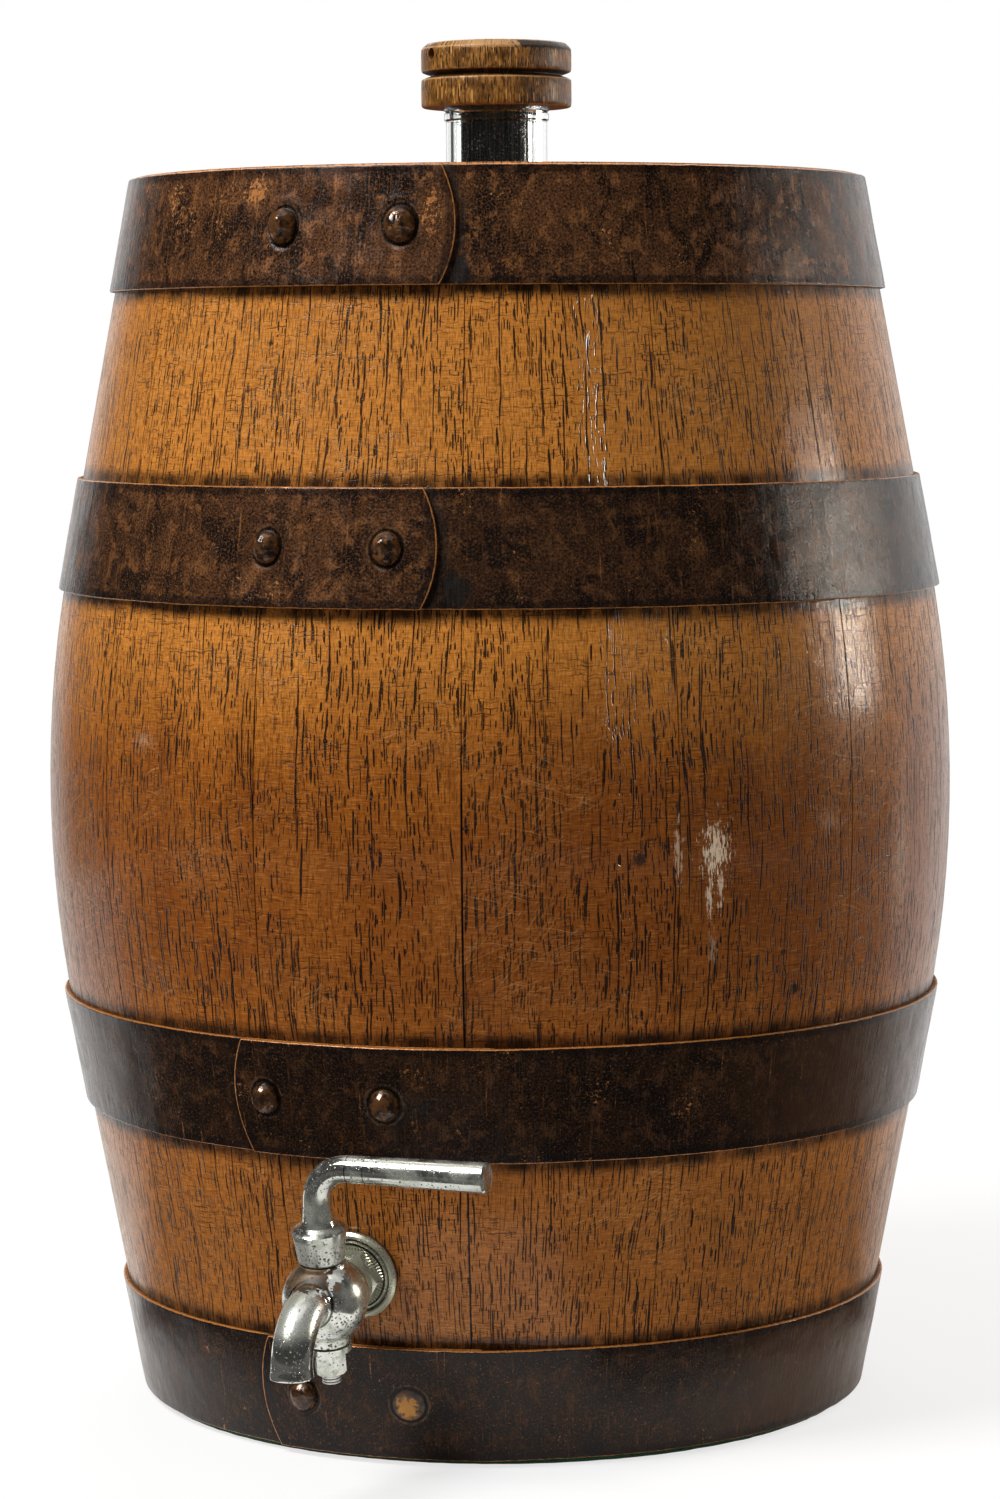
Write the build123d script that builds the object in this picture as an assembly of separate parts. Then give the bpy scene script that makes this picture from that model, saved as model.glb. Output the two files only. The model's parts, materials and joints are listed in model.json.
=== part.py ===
from build123d import *
import os
from math import sin, cos, tan, atan2, degrees, radians, sqrt, pi

# Upright oak counter cask with four riveted copper hoops, a glass filler tube with a turned
# stopper, and a chromed lever tap. Millimetres, +Z up. The origin is the centre of the felt
# pad's underside. The tap looks along -Y, and +X is on the right of someone facing it.
# Angles round the cask are counted in degrees from the front, positive to the right.

# Cask shell
stave_length = 380.0
stave_count = 14
stave_thickness = 10.0
stave_turn = 3.0            # how far the tap's stave is turned from the tap
bulge_radius = 142.0        # outer radius at mid height
bend_half_length = 70.0     # the staves are bent this far above and below the middle
end_slope = 10.6            # lean of the straight stave ends, in degrees
seam_width = 0.18           # fine step along each long outer edge
seam_depth = 0.5
chime_bevel = 4.0           # bevel inside each end of the staves
chime_round = 0.8

# Ends
head_thickness = 10.0
head_inset = 14.0           # from the stave ends to the outer face of a head
groove_depth = 3.0          # how deep the heads sit in the staves
head_clearance = 0.15
head_board_count = 3
felt_thickness = 1.5
felt_inset = 1.2            # the pad's edge lies this far inside the cask's foot

# Hoops
hoop_width = 34.5
hoop_thickness = 1.6
hoop_gap = 57.5             # clear height between an end hoop and the hoop next to it
hoop_end_inset = 0.6        # wood showing past the outer edge of an end hoop
hoop_clearance = 0.1
hoop_edge_chamfer = 0.4
lap_length = 34.0           # degrees of overlap
lap_climb = 12.0            # degrees over which the outer layer rises
lap_gap = 0.08
lap_end_radius = 37.0       # the outer end is cut to this round, across the band
lap_end_trim = 0.4          # taken off the middle of that round

# Rivets
rivet_shank_radius = 2.2
rivet_radius = 4.9
rivet_height = 4.1
top_rivet_radius = 5.4      # the top hoop's rivets are larger
top_rivet_height = 4.8
rivet_hole_clearance = 0.05
rivet_seat = 0.03           # free gap under a rivet's head
worn_rivet_height = 0.8

# Inner vessel
liner_gap = 50.0            # from the vessel to the outside of the bulge, for the tap's back nut
liner_wall = 4.0
liner_foot_round = 12.0
liner_shoulder = 27.0       # radius of the rounded shoulder
liner_headroom = 12.5       # from the vessel's top to the upper head
cushion_thickness = 4.0
cushion_inset = 10.0        # the cork lies this far inside the vessel's foot

# Filler tube and its rings
tube_radius = 15.8
tube_wall = 2.2
tube_bead = 0.6
tube_bead_height = 2.4
tube_stand = 20.4           # how far the tube stands above the stave ends
tube_tail = 7.0             # how far the tube reaches below the vessel's top
ring_clearance = 0.1
bush_wall = 3.2
bush_flange = 3.0
bush_lip = 2.0
grommet_flange = 4.0
grommet_lip = 3.0

# Stopper
stopper_radius = 23.5
stopper_height = 19.9
stopper_groove_height = 2.6
stopper_groove_depth = 3.2
stopper_groove_level = 9.8  # middle of the groove above the stopper's underside
stopper_top_bevel = 2.2
stopper_foot_bevel = 1.0
vent_radius = 1.85
vent_level = 16.0
vent_angle = -39.0
seal_thickness = 1.0
seal_lift = 0.3             # free height under the seal at rest
sleeve_radius = 11.3        # chromed sleeve that hangs in the filler tube
sleeve_wall = 1.0
sleeve_length = 50.0
sleeve_cap = 2.0
spigot_radius = 5.0
spigot_length = 9.0

# Tap, in its own frame: origin on the stave's surface, -Y outwards, +Z along the key
tap_height = 57.5           # above the foot of the staves
tap_reach = 23.8            # from the wood to the key's axis
globe_radius = 12.5
globe_rise = 1.5
shank_radius = 6.6
shank_bore = 3.8
shank_clearance = 0.4
shank_into_liner = 7.0
neck_radius = 6.9
key_top_radius = 5.6
key_foot_radius = 4.9
key_clearance = 0.06
key_port = 3.6
crown_height = 13.2         # top of the body above the shank's axis
foot_depth = 11.9           # underside of the body below it
foot_radius = 6.6
part_gap = 0.3              # free gap between the body and what turns on it
spout_radius = 6.0
spout_mouth_radius = 6.4
spout_bore = 4.3
spout_rise = 3.9
spout_run = 12.2
spout_bend = 15.0
spout_mouth = 3.0

# Lever and what holds the key down
collar_height = 10.0
collar_foot_radius = 6.7
collar_top_radius = 8.0
collar_edge = 0.5
shoulder_height = 2.6
shoulder_width = 1.6        # the hollow shoulder is this much wider than the stem at its foot
shoulder_neck = 0.5         # and this much wider part way up
stem_radius = 4.6
arm_radius = 3.95
arm_end_radius = 4.5
arm_level = 42.1
arm_length = 53.0
arm_bend = 10.5
arm_edge = 0.6
peg_side = 6.4
peg_height = 7.5
peg_clearance = 0.08
tail_radius = 2.8
tail_length = 3.0
key_washer_radius = 6.6
key_washer_thickness = 1.8
key_nut_flats = 8.5
key_nut_height = 7.0
key_nut_bevel = 0.5
thread_clearance = 0.05

# Tap mounting
leather_radius = 12.9
leather_thickness = 1.2
flange_radius = 13.5
flange_base = 1.2
flange_rim = 2.3
flange_rim_width = 2.2
flange_rib = 1.7
flange_rib_radius = 10.9
flange_rib_width = 0.9
tooth_washer_radius = 9.9
tooth_washer_thickness = 0.9
tooth_count = 60
tooth_length = 2.2
tooth_depth = 0.35
tap_nut_flats = 16.6
tap_nut_height = 4.6
tap_nut_bevel = 1.3
back_washer_radius = 14.0
back_washer_thickness = 1.6
back_nut_flats = 24.0
back_nut_height = 6.0
liner_seal_wall = 3.0
liner_seal_flange = 4.5
liner_seal_lip = 3.0

# Small allowances
wood_gap = 0.05             # free gap between the tap's washers and the wood
cut_past = 2.0              # how far a cutter reaches past what it cuts
port_depth = 0.5            # the spigot's socket is this much deeper than the spigot

# Sizes that follow from the ones above
liner_radius = bulge_radius - liner_gap
cushion_radius = liner_radius - cushion_inset
foot_z = felt_thickness
rim_z = foot_z + stave_length
middle_z = foot_z + stave_length / 2
bend_radius = bend_half_length / sin(radians(end_slope))
stave_angle = 360.0 / stave_count
slope_sin = sin(radians(end_slope))
slope_cos = cos(radians(end_slope))
slope_tan = tan(radians(end_slope))
spout_turn = 90 - end_slope     # so that the mouth points straight down


def shell_radius(z):
    """Outer radius of the cask at height z."""
    height = abs(z - middle_z)
    if height <= bend_half_length:
        return bulge_radius - bend_radius + sqrt(bend_radius ** 2 - height ** 2)
    bend_drop = bend_radius * (1 - slope_cos)
    return bulge_radius - bend_drop - (height - bend_half_length) * slope_tan


def inner_radius(z):
    """Radius inside the straight part of the staves at height z."""
    return shell_radius(z) - stave_thickness / slope_cos


def turned(shape, angle):
    """Turn a shape that starts on the +X side to an angle counted from the front."""
    return Rot(0, 0, angle - 90) * shape


def ring(outer, inner, low, high):
    """A plain ring round the cask's axis."""
    return Pos(0, 0, low) * extrude(Circle(outer) - Circle(inner), high - low)


def section(edges):
    """A face through the cask's axis, from edges given in radius and height."""
    return Plane.XZ * make_face(edges)


def spun(points):
    """A solid of revolution from its outline in radius and height."""
    return revolve(section(Polyline(*points, close=True).edges()), Axis.Z)


# Staves

def stave_profile():
    """Section of one stave: straight ends, a bent middle, bevelled ends and two grooves."""
    low, high = middle_z - bend_half_length, middle_z + bend_half_length
    end_radius = shell_radius(rim_z)
    bend_out = shell_radius(high)
    bend_in = bend_out - stave_thickness * slope_cos
    bend_in_low = low + stave_thickness * slope_sin
    bend_in_high = high - stave_thickness * slope_sin
    end_in = inner_radius(rim_z)
    bevel_in = inner_radius(rim_z - chime_bevel)
    outer = [
        Line((end_radius - chime_round, foot_z), (shell_radius(foot_z + chime_round), foot_z + chime_round)),
        Line((shell_radius(foot_z + chime_round), foot_z + chime_round), (bend_out, low)),
        ThreePointArc((bend_out, low), (bulge_radius, middle_z), (bend_out, high)),
        Line((bend_out, high), (shell_radius(rim_z - chime_round), rim_z - chime_round)),
        Line((shell_radius(rim_z - chime_round), rim_z - chime_round), (end_radius - chime_round, rim_z)),
    ]
    inner = [
        Line((end_radius - chime_round, rim_z), (end_in + chime_bevel / 2, rim_z)),
        Line((end_in + chime_bevel / 2, rim_z), (bevel_in, rim_z - chime_bevel)),
        Line((bevel_in, rim_z - chime_bevel), (bend_in, bend_in_high)),
        ThreePointArc((bend_in, bend_in_high), (bulge_radius - stave_thickness, middle_z), (bend_in, bend_in_low)),
        Line((bend_in, bend_in_low), (bevel_in, foot_z + chime_bevel)),
        Line((bevel_in, foot_z + chime_bevel), (end_in + chime_bevel / 2, foot_z)),
        Line((end_in + chime_bevel / 2, foot_z), (end_radius - chime_round, foot_z)),
    ]
    return section(outer + inner)


def head_blank(face_in, face_out, extra):
    """A full head, bevelled at its edge, between its inner and outer face heights."""
    low, high = min(face_in, face_out), max(face_in, face_out)
    middle = (low + high) / 2
    reach = inner_radius(middle) + groove_depth + extra
    edge = head_thickness / 4 + extra
    shoulder = min(inner_radius(low), inner_radius(high)) - head_clearance + extra
    return spun([(0, low - extra), (shoulder, low - extra), (reach, middle - edge), (reach, middle + edge),
                 (shoulder, high + extra), (0, high + extra)])


top_head_out = rim_z - head_inset
top_head_in = top_head_out - head_thickness
foot_head_out = foot_z + head_inset
foot_head_in = foot_head_out + head_thickness


def tap_place():
    """Where the tap's own frame lies: square to the slope of the wood."""
    height = foot_z + tap_height
    return Pos(0, -shell_radius(height), height) * Rot(end_slope, 0, 0)


def seam_cutters(profile):
    """What takes a fine step off both long outer edges, which leaves a groove at each seam."""
    skin = profile - Pos(-seam_depth, 0, 0) * profile
    width = degrees(seam_width / bulge_radius)
    first = revolve(skin, Axis.Z, width)
    return [first, Rot(0, 0, stave_angle - width) * first]


def make_staves():
    profile = stave_profile()
    grooves = head_blank(top_head_in, top_head_out, head_clearance)
    grooves += head_blank(foot_head_in, foot_head_out, head_clearance)
    blank = revolve(profile, Axis.Z, stave_angle) - grooves - seam_cutters(profile)
    tap_hole = tap_place() * Rot(90, 0, 0) * Cylinder(shank_radius + shank_clearance, 4 * stave_thickness)
    staves = []
    for number in range(stave_count):
        start = stave_turn - stave_angle / 2 + number * stave_angle
        stave = turned(blank, start)
        if number == 0:
            stave = stave - tap_hole
        staves.append(stave)
    return staves


def split_boards(head):
    """Saw a head into its boards, side by side."""
    box = head.bounding_box()
    width = (box.max.X - box.min.X) / head_board_count
    boards = []
    for number in range(head_board_count):
        left = box.min.X + number * width
        saw = Pos(left + width / 2, 0, (box.min.Z + box.max.Z) / 2) * Box(
            width, box.size.Y + cut_past, box.size.Z + cut_past)
        boards.append(head & saw)
    return boards


def make_top_boards():
    head = head_blank(top_head_in, top_head_out, 0)
    hole = Pos(0, 0, top_head_in) * Cylinder(tube_radius + bush_wall + 2 * ring_clearance, 4 * head_thickness)
    return split_boards(head - hole)


def make_foot_boards():
    return split_boards(head_blank(foot_head_in, foot_head_out, 0))


def make_felt():
    return Pos(0, 0, felt_thickness / 2) * Cylinder(shell_radius(foot_z) - felt_inset, felt_thickness)


# Hoops and rivets

class Hoop:
    """One riveted hoop: its place, which way its outer end points, and its rivets."""

    def __init__(self, name, low, side, end_angle, rivet_angles, head_radius, head_heights):
        self.name = name
        self.low = low
        self.high = low + hoop_width
        self.side = side
        self.end_angle = end_angle
        self.rivet_angles = rivet_angles
        self.head_radius = head_radius
        self.head_heights = head_heights

    def middle(self):
        return (self.low + self.high) / 2

    def tilt(self):
        """Lean of the hoop's face in degrees, positive where it narrows upwards."""
        return degrees(atan2(shell_radius(self.low) - shell_radius(self.high), hoop_width))

    def wall(self):
        """The band's thickness measured level."""
        return hoop_thickness / cos(radians(self.tilt()))

    def turned_over(self):
        """The same hoop on the cask turned upside down about its front, so that it laps to the other side."""
        angles = [-angle for angle in self.rivet_angles]
        low = 2 * middle_z - self.high
        return Hoop(self.name, low, -self.side, -self.end_angle, angles, self.head_radius, self.head_heights)

    def face_radius(self, layers):
        """Radius of the hoop's outer face at its middle, after a number of layers."""
        thickness = layers * self.wall() + (layers - 1) * lap_gap
        return (shell_radius(self.low) + shell_radius(self.high)) / 2 + hoop_clearance + thickness


top_hoop_low = rim_z - hoop_end_inset - hoop_width
foot_hoop_low = foot_z + hoop_end_inset
hoops = [
    Hoop("top_end", top_hoop_low, 1, 14.8, (-10.7, 6.9), top_rivet_radius, (top_rivet_height, top_rivet_height)),
    Hoop("top_bulge", top_hoop_low - hoop_gap - hoop_width, 1, 13.1, (-8.8, 6.8), rivet_radius,
         (rivet_height, rivet_height)),
    Hoop("foot_bulge", foot_hoop_low + hoop_width + hoop_gap, -1, -14.5, (6.0, -9.8), rivet_radius,
         (rivet_height, rivet_height)),
    Hoop("foot_end", foot_hoop_low, -1, -16.6, (6.9, -9.3), rivet_radius, (worn_rivet_height, rivet_height)),
]


def hoop_section(hoop, lift):
    """The band's section on the +X side, lifted off the wood by a distance."""
    inner_low = shell_radius(hoop.low) + hoop_clearance + lift
    inner_high = shell_radius(hoop.high) + hoop_clearance + lift
    wall = hoop.wall()
    lean = (inner_high - inner_low) / hoop_width * hoop_edge_chamfer
    points = [
        (inner_low, hoop.low),
        (inner_low + wall - hoop_edge_chamfer, hoop.low),
        (inner_low + wall + lean, hoop.low + hoop_edge_chamfer),
        (inner_high + wall - lean, hoop.high - hoop_edge_chamfer),
        (inner_high + wall - hoop_edge_chamfer, hoop.high),
        (inner_high, hoop.high),
    ]
    return section(Polyline(*points, close=True).edges())


def rivet_place(hoop, number):
    """Frame on the outer layer at a rivet, with +Z out of the metal."""
    on_face = Pos(hoop.face_radius(2) + rivet_seat, 0, hoop.middle()) * Rot(0, 90 - hoop.tilt(), 0)
    return Rot(0, 0, hoop.rivet_angles[number] - 90) * on_face


def make_hoop(hoop):
    """A band whose outer end climbs over its own start and is riveted down."""
    if hoop.side < 0:
        return Pos(0, 0, 2 * middle_z) * Rot(0, 180, 0) * make_hoop(hoop.turned_over())
    end = hoop.end_angle
    start = end - lap_length
    raised = hoop.wall() + lap_gap
    flat = hoop_section(hoop, 0)
    inner_layer = turned(revolve(flat, Axis.Z, 360 - lap_climb), start)
    steps = 6
    sections = []
    for step in range(steps + 1):
        share = step / steps
        rise = share * share * (3 - 2 * share) * raised
        sections.append(turned(hoop_section(hoop, rise), start - lap_climb * (1 - share)))
    climb = loft(sections)
    outer_layer = turned(revolve(hoop_section(hoop, raised), Axis.Z, lap_length), start)
    outer_layer = outer_layer - end_cutter(hoop, end)
    band = inner_layer + climb + outer_layer
    for number in range(len(hoop.rivet_angles)):
        hole = Cylinder(rivet_shank_radius + rivet_hole_clearance, 8 * hoop_thickness)
        band = band - rivet_place(hoop, number) * hole
    return band


def end_cutter(hoop, end):
    """What rounds the outer end of the band, between its two edges."""
    waste = Rectangle(2 * lap_end_radius, 2 * hoop_width)
    waste -= Pos(-lap_end_radius - lap_end_trim, 0) * Circle(lap_end_radius)
    waste -= Pos(-lap_end_radius, 0) * Rectangle(lap_end_radius, 2 * hoop_width)
    on_face = Pos(hoop.face_radius(2), 0, hoop.middle()) * Rot(0, -hoop.tilt(), 0) * Rot(90, 0, 90)
    return Rot(0, 0, end - 90) * on_face * extrude(waste, 2 * hoop_thickness, both=True)


def make_rivets(hoop):
    """Domed rivets through both layers."""
    both_layers = 2 * hoop_thickness + lap_gap
    rivets = []
    for number in range(len(hoop.rivet_angles)):
        radius, height = hoop.head_radius, hoop.head_heights[number]
        ball = (radius ** 2 + height ** 2) / (2 * height)
        dome = Pos(0, 0, height - ball) * Sphere(ball)
        dome = dome & (Pos(0, 0, height) * Box(4 * radius, 4 * radius, 2 * height))
        shank = Pos(0, 0, -both_layers / 2) * Cylinder(rivet_shank_radius, both_layers)
        rivets.append(rivet_place(hoop, number) * (dome + shank))
    return Compound(children=rivets)


# Vessel and filler tube

cushion_low = foot_head_in
liner_low = cushion_low + cushion_thickness
liner_high = top_head_in - liner_headroom
tube_low = liner_high - tube_tail
tube_high = rim_z + tube_stand
liner_mouth = tube_radius + bush_wall + 2 * ring_clearance


def make_cushion():
    return Pos(0, 0, cushion_low + cushion_thickness / 2) * Cylinder(cushion_radius, cushion_thickness)


def liner_outline(inset):
    """Half outline of the vessel, drawn in by an inset."""
    radius = liner_radius - inset
    low, high = liner_low + inset, liner_high - inset
    foot, shoulder = liner_foot_round - inset / 2, liner_shoulder - inset
    bend = sin(radians(45))
    return [
        Line((0, low), (radius - foot, low)),
        ThreePointArc((radius - foot, low),
                      (radius - foot * (1 - bend), low + foot * (1 - bend)), (radius, low + foot)),
        Line((radius, low + foot), (radius, high - shoulder)),
        ThreePointArc((radius, high - shoulder),
                      (radius - shoulder * (1 - bend), high - shoulder * (1 - bend)), (radius - shoulder, high)),
        Line((radius - shoulder, high), (0, high)),
        Line((0, high), (0, low)),
    ]


def tap_hole_in_liner():
    hole = Cylinder(shank_radius + liner_seal_wall, 2 * liner_radius, align=(Align.CENTER, Align.CENTER, Align.MAX))
    return tap_place() * Rot(90, 0, 0) * hole


def make_liner():
    shell = revolve(section(liner_outline(0)), Axis.Z)
    shell = shell - revolve(section(liner_outline(liner_wall)), Axis.Z)
    shell = shell - Pos(0, 0, liner_high) * Cylinder(liner_mouth, 4 * liner_wall)
    front = Pos(0, -liner_radius, middle_z) * Box(4 * liner_radius, 2 * liner_radius, 2 * stave_length)
    return shell - (tap_hole_in_liner() & front)


def make_tube():
    """Glass filler tube with a thickened rim."""
    inside = tube_radius - tube_wall
    bead_low = tube_high - tube_bead_height
    return spun([(inside, tube_low), (tube_radius, tube_low), (tube_radius, bead_low - tube_bead),
                 (tube_radius + tube_bead, bead_low), (tube_radius + tube_bead, tube_high - tube_bead),
                 (tube_radius, tube_high), (inside, tube_high)])


def make_bush():
    """Flanged ring that centres the tube in the upper head."""
    inside = tube_radius + ring_clearance
    outside = inside + bush_wall
    return spun([(inside, top_head_in), (outside, top_head_in), (outside, top_head_out),
                 (outside + bush_flange, top_head_out), (outside + bush_flange, top_head_out + bush_lip / 2),
                 (outside + bush_flange / 2, top_head_out + bush_lip), (inside, top_head_out + bush_lip)])


def make_grommet():
    """Grooved ring that seals the tube in the vessel's mouth."""
    inside = tube_radius + ring_clearance
    outside = inside + bush_wall
    wide = outside + grommet_flange
    low, high = liner_high - liner_wall, liner_high
    return spun([(inside, low - grommet_lip), (wide, low - grommet_lip), (wide, low), (outside, low),
                 (outside, high), (wide, high), (wide, high + grommet_lip), (inside, high + grommet_lip)])


# Stopper

seal_low = tube_high + seal_lift
stopper_low = seal_low + seal_thickness


def make_stopper():
    """Turned knob with a V groove, a socket for the sleeve's spigot and a vent."""
    low, high = stopper_low, stopper_low + stopper_height
    groove = low + stopper_groove_level
    half = stopper_groove_height / 2
    knob = spun([(0, low), (stopper_radius - stopper_foot_bevel, low), (stopper_radius, low + stopper_foot_bevel),
                 (stopper_radius, groove - half), (stopper_radius - stopper_groove_depth, groove),
                 (stopper_radius, groove + half), (stopper_radius, high - stopper_top_bevel),
                 (stopper_radius - stopper_top_bevel, high), (0, high)])
    socket = Pos(0, 0, low) * Cylinder(spigot_radius + thread_clearance, 2 * (spigot_length + port_depth))
    riser = Pos(0, 0, low) * Cylinder(vent_radius, vent_level, align=(Align.CENTER, Align.CENTER, Align.MIN))
    side = turned(Pos(0, 0, low + vent_level) * Rot(0, 90, 0) * Cylinder(
        vent_radius, 2 * stopper_radius, align=(Align.CENTER, Align.CENTER, Align.MIN)), vent_angle)
    return knob - socket - riser - side


def make_seal():
    return ring(tube_radius + tube_bead, sleeve_radius + ring_clearance, seal_low, stopper_low)


def make_sleeve():
    """Chromed sleeve, open below, with a hollow spigot into the stopper."""
    low = stopper_low - sleeve_length
    inside = sleeve_radius - sleeve_wall
    roof = stopper_low - sleeve_cap
    return spun([(inside, low), (sleeve_radius, low), (sleeve_radius, stopper_low), (spigot_radius, stopper_low),
                 (spigot_radius, stopper_low + spigot_length), (vent_radius, stopper_low + spigot_length),
                 (vent_radius, roof), (inside, roof)])


# Tap

def outwards(shape):
    """Turn a shape that stands along +Z to look out of the cask, along -Y."""
    return Rot(90, 0, 0) * shape


def hexagon(flats, height):
    return extrude(RegularPolygon(flats / 2, 6, major_radius=False), height)


def key_cone(extra):
    """The tapered key between the body's top and underside, grown by an allowance."""
    height = crown_height + foot_depth
    cone = Cone(key_foot_radius + extra, key_top_radius + extra, height)
    return Pos(0, -tap_reach, (crown_height - foot_depth) / 2) * cone


def spout_path():
    """Centre line of the spout, from the key forwards and down."""
    start = (0, -tap_reach, spout_rise)
    bend_start = (0, -tap_reach - spout_run, spout_rise)
    turn = radians(spout_turn)
    bend_end = (0, bend_start[1] - spout_bend * sin(turn), spout_rise - spout_bend * (1 - cos(turn)))
    half = turn / 2
    bend_middle = (0, bend_start[1] - spout_bend * sin(half), spout_rise - spout_bend * (1 - cos(half)))
    mouth = (0, bend_end[1] - spout_mouth * cos(turn), bend_end[2] - spout_mouth * sin(turn))
    return start, bend_start, bend_middle, bend_end, mouth


def spout_bar(radius):
    """A round bar along the spout's centre line, up to its mouth."""
    start, bend_start, bend_middle, bend_end, mouth = spout_path()
    path = Wire([Edge.make_line(start, bend_start), Edge.make_three_point_arc(bend_start, bend_middle, bend_end)])
    return sweep(Plane(origin=start, x_dir=(1, 0, 0), z_dir=(0, -1, 0)) * Circle(radius), path)


def mouth_place():
    """Frame at the end of the spout's bend, with +Z towards the outlet."""
    start, bend_start, bend_middle, bend_end, mouth = spout_path()
    return Plane(origin=bend_end, x_dir=(1, 0, 0), z_dir=Vector(*mouth) - Vector(*bend_end))


def make_tap_body():
    """Globe, threaded shank and spout in one casting, bored for the key and the flow."""
    globe = Pos(0, -tap_reach, globe_rise) * Sphere(globe_radius)
    crown = Pos(0, -tap_reach, crown_height / 2) * Cylinder(neck_radius, crown_height)
    foot = Pos(0, -tap_reach, -foot_depth / 2) * Cylinder(foot_radius, foot_depth)
    trim = Pos(0, -tap_reach, (crown_height - foot_depth) / 2) * Box(
        4 * globe_radius, 4 * globe_radius, crown_height + foot_depth)
    inward = shell_radius(foot_z + tap_height) - liner_radius + liner_wall + shank_into_liner
    shank = Pos(0, (inward - tap_reach) / 2, 0) * outwards(Cylinder(shank_radius, inward + tap_reach))
    mouth = Cone(spout_radius, spout_mouth_radius, spout_mouth, align=(Align.CENTER, Align.CENTER, Align.MIN))
    body = ((globe + crown + foot) & trim) + shank + spout_bar(spout_radius) + mouth_place() * mouth
    bore = Pos(0, inward, 0) * outwards(Cylinder(shank_bore, inward + tap_reach,
                                                 align=(Align.CENTER, Align.CENTER, Align.MIN)))
    outlet = Cylinder(spout_bore, 2 * spout_mouth, align=(Align.CENTER, Align.CENTER, Align.MIN))
    return body - bore - spout_bar(spout_bore) - mouth_place() * outlet - key_cone(key_clearance)


def make_key():
    """Tapered key with a cross port, a square peg above and a threaded tail below."""
    cone = key_cone(0)
    crown = crown_height + part_gap
    peg = Pos(0, -tap_reach, crown_height + peg_height / 2) * Box(peg_side, peg_side, peg_height)
    tail_top = -foot_depth
    tail_low = -foot_depth - part_gap - key_washer_thickness - key_nut_height - tail_length
    tail = Pos(0, -tap_reach, (tail_top + tail_low) / 2) * Cylinder(tail_radius, tail_top - tail_low)
    port = Pos(0, -tap_reach, 0) * Rot(0, 90, 0) * Cylinder(key_port, 4 * key_top_radius)
    return (cone - port) + peg + tail


def make_lever():
    """Tapered collar, concave shoulder, stem, bend and a long thickening arm."""
    low = crown_height + part_gap
    high = low + collar_height
    top = high + shoulder_height
    bend_low = arm_level - arm_bend
    edge = collar_edge
    collar = spun([(0, low), (collar_foot_radius - edge, low), (collar_foot_radius, low + edge),
                   (collar_top_radius, high - edge), (collar_top_radius - edge, high),
                   (stem_radius + shoulder_width, high + shoulder_height / 8),
                   (stem_radius + shoulder_neck, high + shoulder_height * 3 / 7), (stem_radius, top), (0, top)])
    stem = Pos(0, 0, (top + bend_low) / 2) * Cone(stem_radius, arm_radius, bend_low - top)
    bend_line = ThreePointArc((0, 0, bend_low),
                              (arm_bend * (1 - cos(pi / 4)), 0, bend_low + arm_bend * sin(pi / 4)),
                              (arm_bend, 0, arm_level))
    bend = sweep(Pos(0, 0, bend_low) * Circle(arm_radius), bend_line)
    straight = arm_length - arm_bend
    arm = Cone(arm_radius, arm_end_radius, straight, align=(Align.CENTER, Align.CENTER, Align.MIN))
    arm = chamfer(arm.faces().sort_by(Axis.Z)[-1].edges(), arm_edge)
    arm = Pos(arm_bend, 0, arm_level) * Rot(0, 90, 0) * arm
    socket_height = peg_height - part_gap + peg_clearance
    socket_side = peg_side + 2 * peg_clearance
    socket = Pos(0, 0, low + socket_height / 2) * Box(socket_side, socket_side, socket_height)
    return Pos(0, -tap_reach, 0) * (collar + stem + bend + arm - socket)


def make_key_washer():
    high = -foot_depth - part_gap
    disc = Circle(key_washer_radius) - Circle(tail_radius + thread_clearance)
    return Pos(0, -tap_reach, high - key_washer_thickness) * extrude(disc, key_washer_thickness)


def make_key_nut():
    high = -foot_depth - part_gap - key_washer_thickness
    corner = key_nut_flats / sqrt(3)
    bevel = spun([(0, 0), (corner - key_nut_bevel, 0), (corner, key_nut_bevel), (corner, key_nut_height),
                  (0, key_nut_height)])
    nut = hexagon(key_nut_flats, key_nut_height) & bevel
    nut = nut - Cylinder(tail_radius + thread_clearance, 4 * key_nut_height)
    return Pos(0, -tap_reach, high - key_nut_height) * nut


def shank_hole():
    """What clears the shank through anything that is slid on it."""
    return Cylinder(shank_radius + thread_clearance, 4 * (stave_thickness + back_washer_thickness + back_nut_height))


def make_leather():
    """Washer pressed to the round of the staves."""
    blank = Cylinder(leather_radius, 4 * leather_thickness, align=(Align.CENTER, Align.CENTER, Align.MAX))
    blank = outwards(Pos(0, 0, leather_thickness) * blank - shank_hole())
    height = 2 * flange_radius
    low, high = foot_z + tap_height - height, foot_z + tap_height + height
    wood = spun([(0, low), (shell_radius(low) + wood_gap, low), (shell_radius(high) + wood_gap, high), (0, high)])
    return tap_place() * blank - wood


def make_flange():
    """Dished plate with a rolled rim and an inner rib."""
    base = leather_thickness
    rim_in = flange_radius - flange_rim_width
    third = flange_rim_width / 3
    side = flange_rib_width / 4
    plate = spun([(0, base), (flange_radius - third / 2, base), (flange_radius, base + third),
                  (flange_radius, base + flange_rim - third), (flange_radius - third, base + flange_rim),
                  (rim_in + third, base + flange_rim), (rim_in, base + flange_base * 5 / 4),
                  (flange_rib_radius + side, base + flange_base), (flange_rib_radius - side, base + flange_rib),
                  (flange_rib_radius - flange_rib_width + side, base + flange_rib),
                  (flange_rib_radius - flange_rib_width, base + flange_base), (0, base + flange_base)])
    return outwards(plate - shank_hole())


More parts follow.
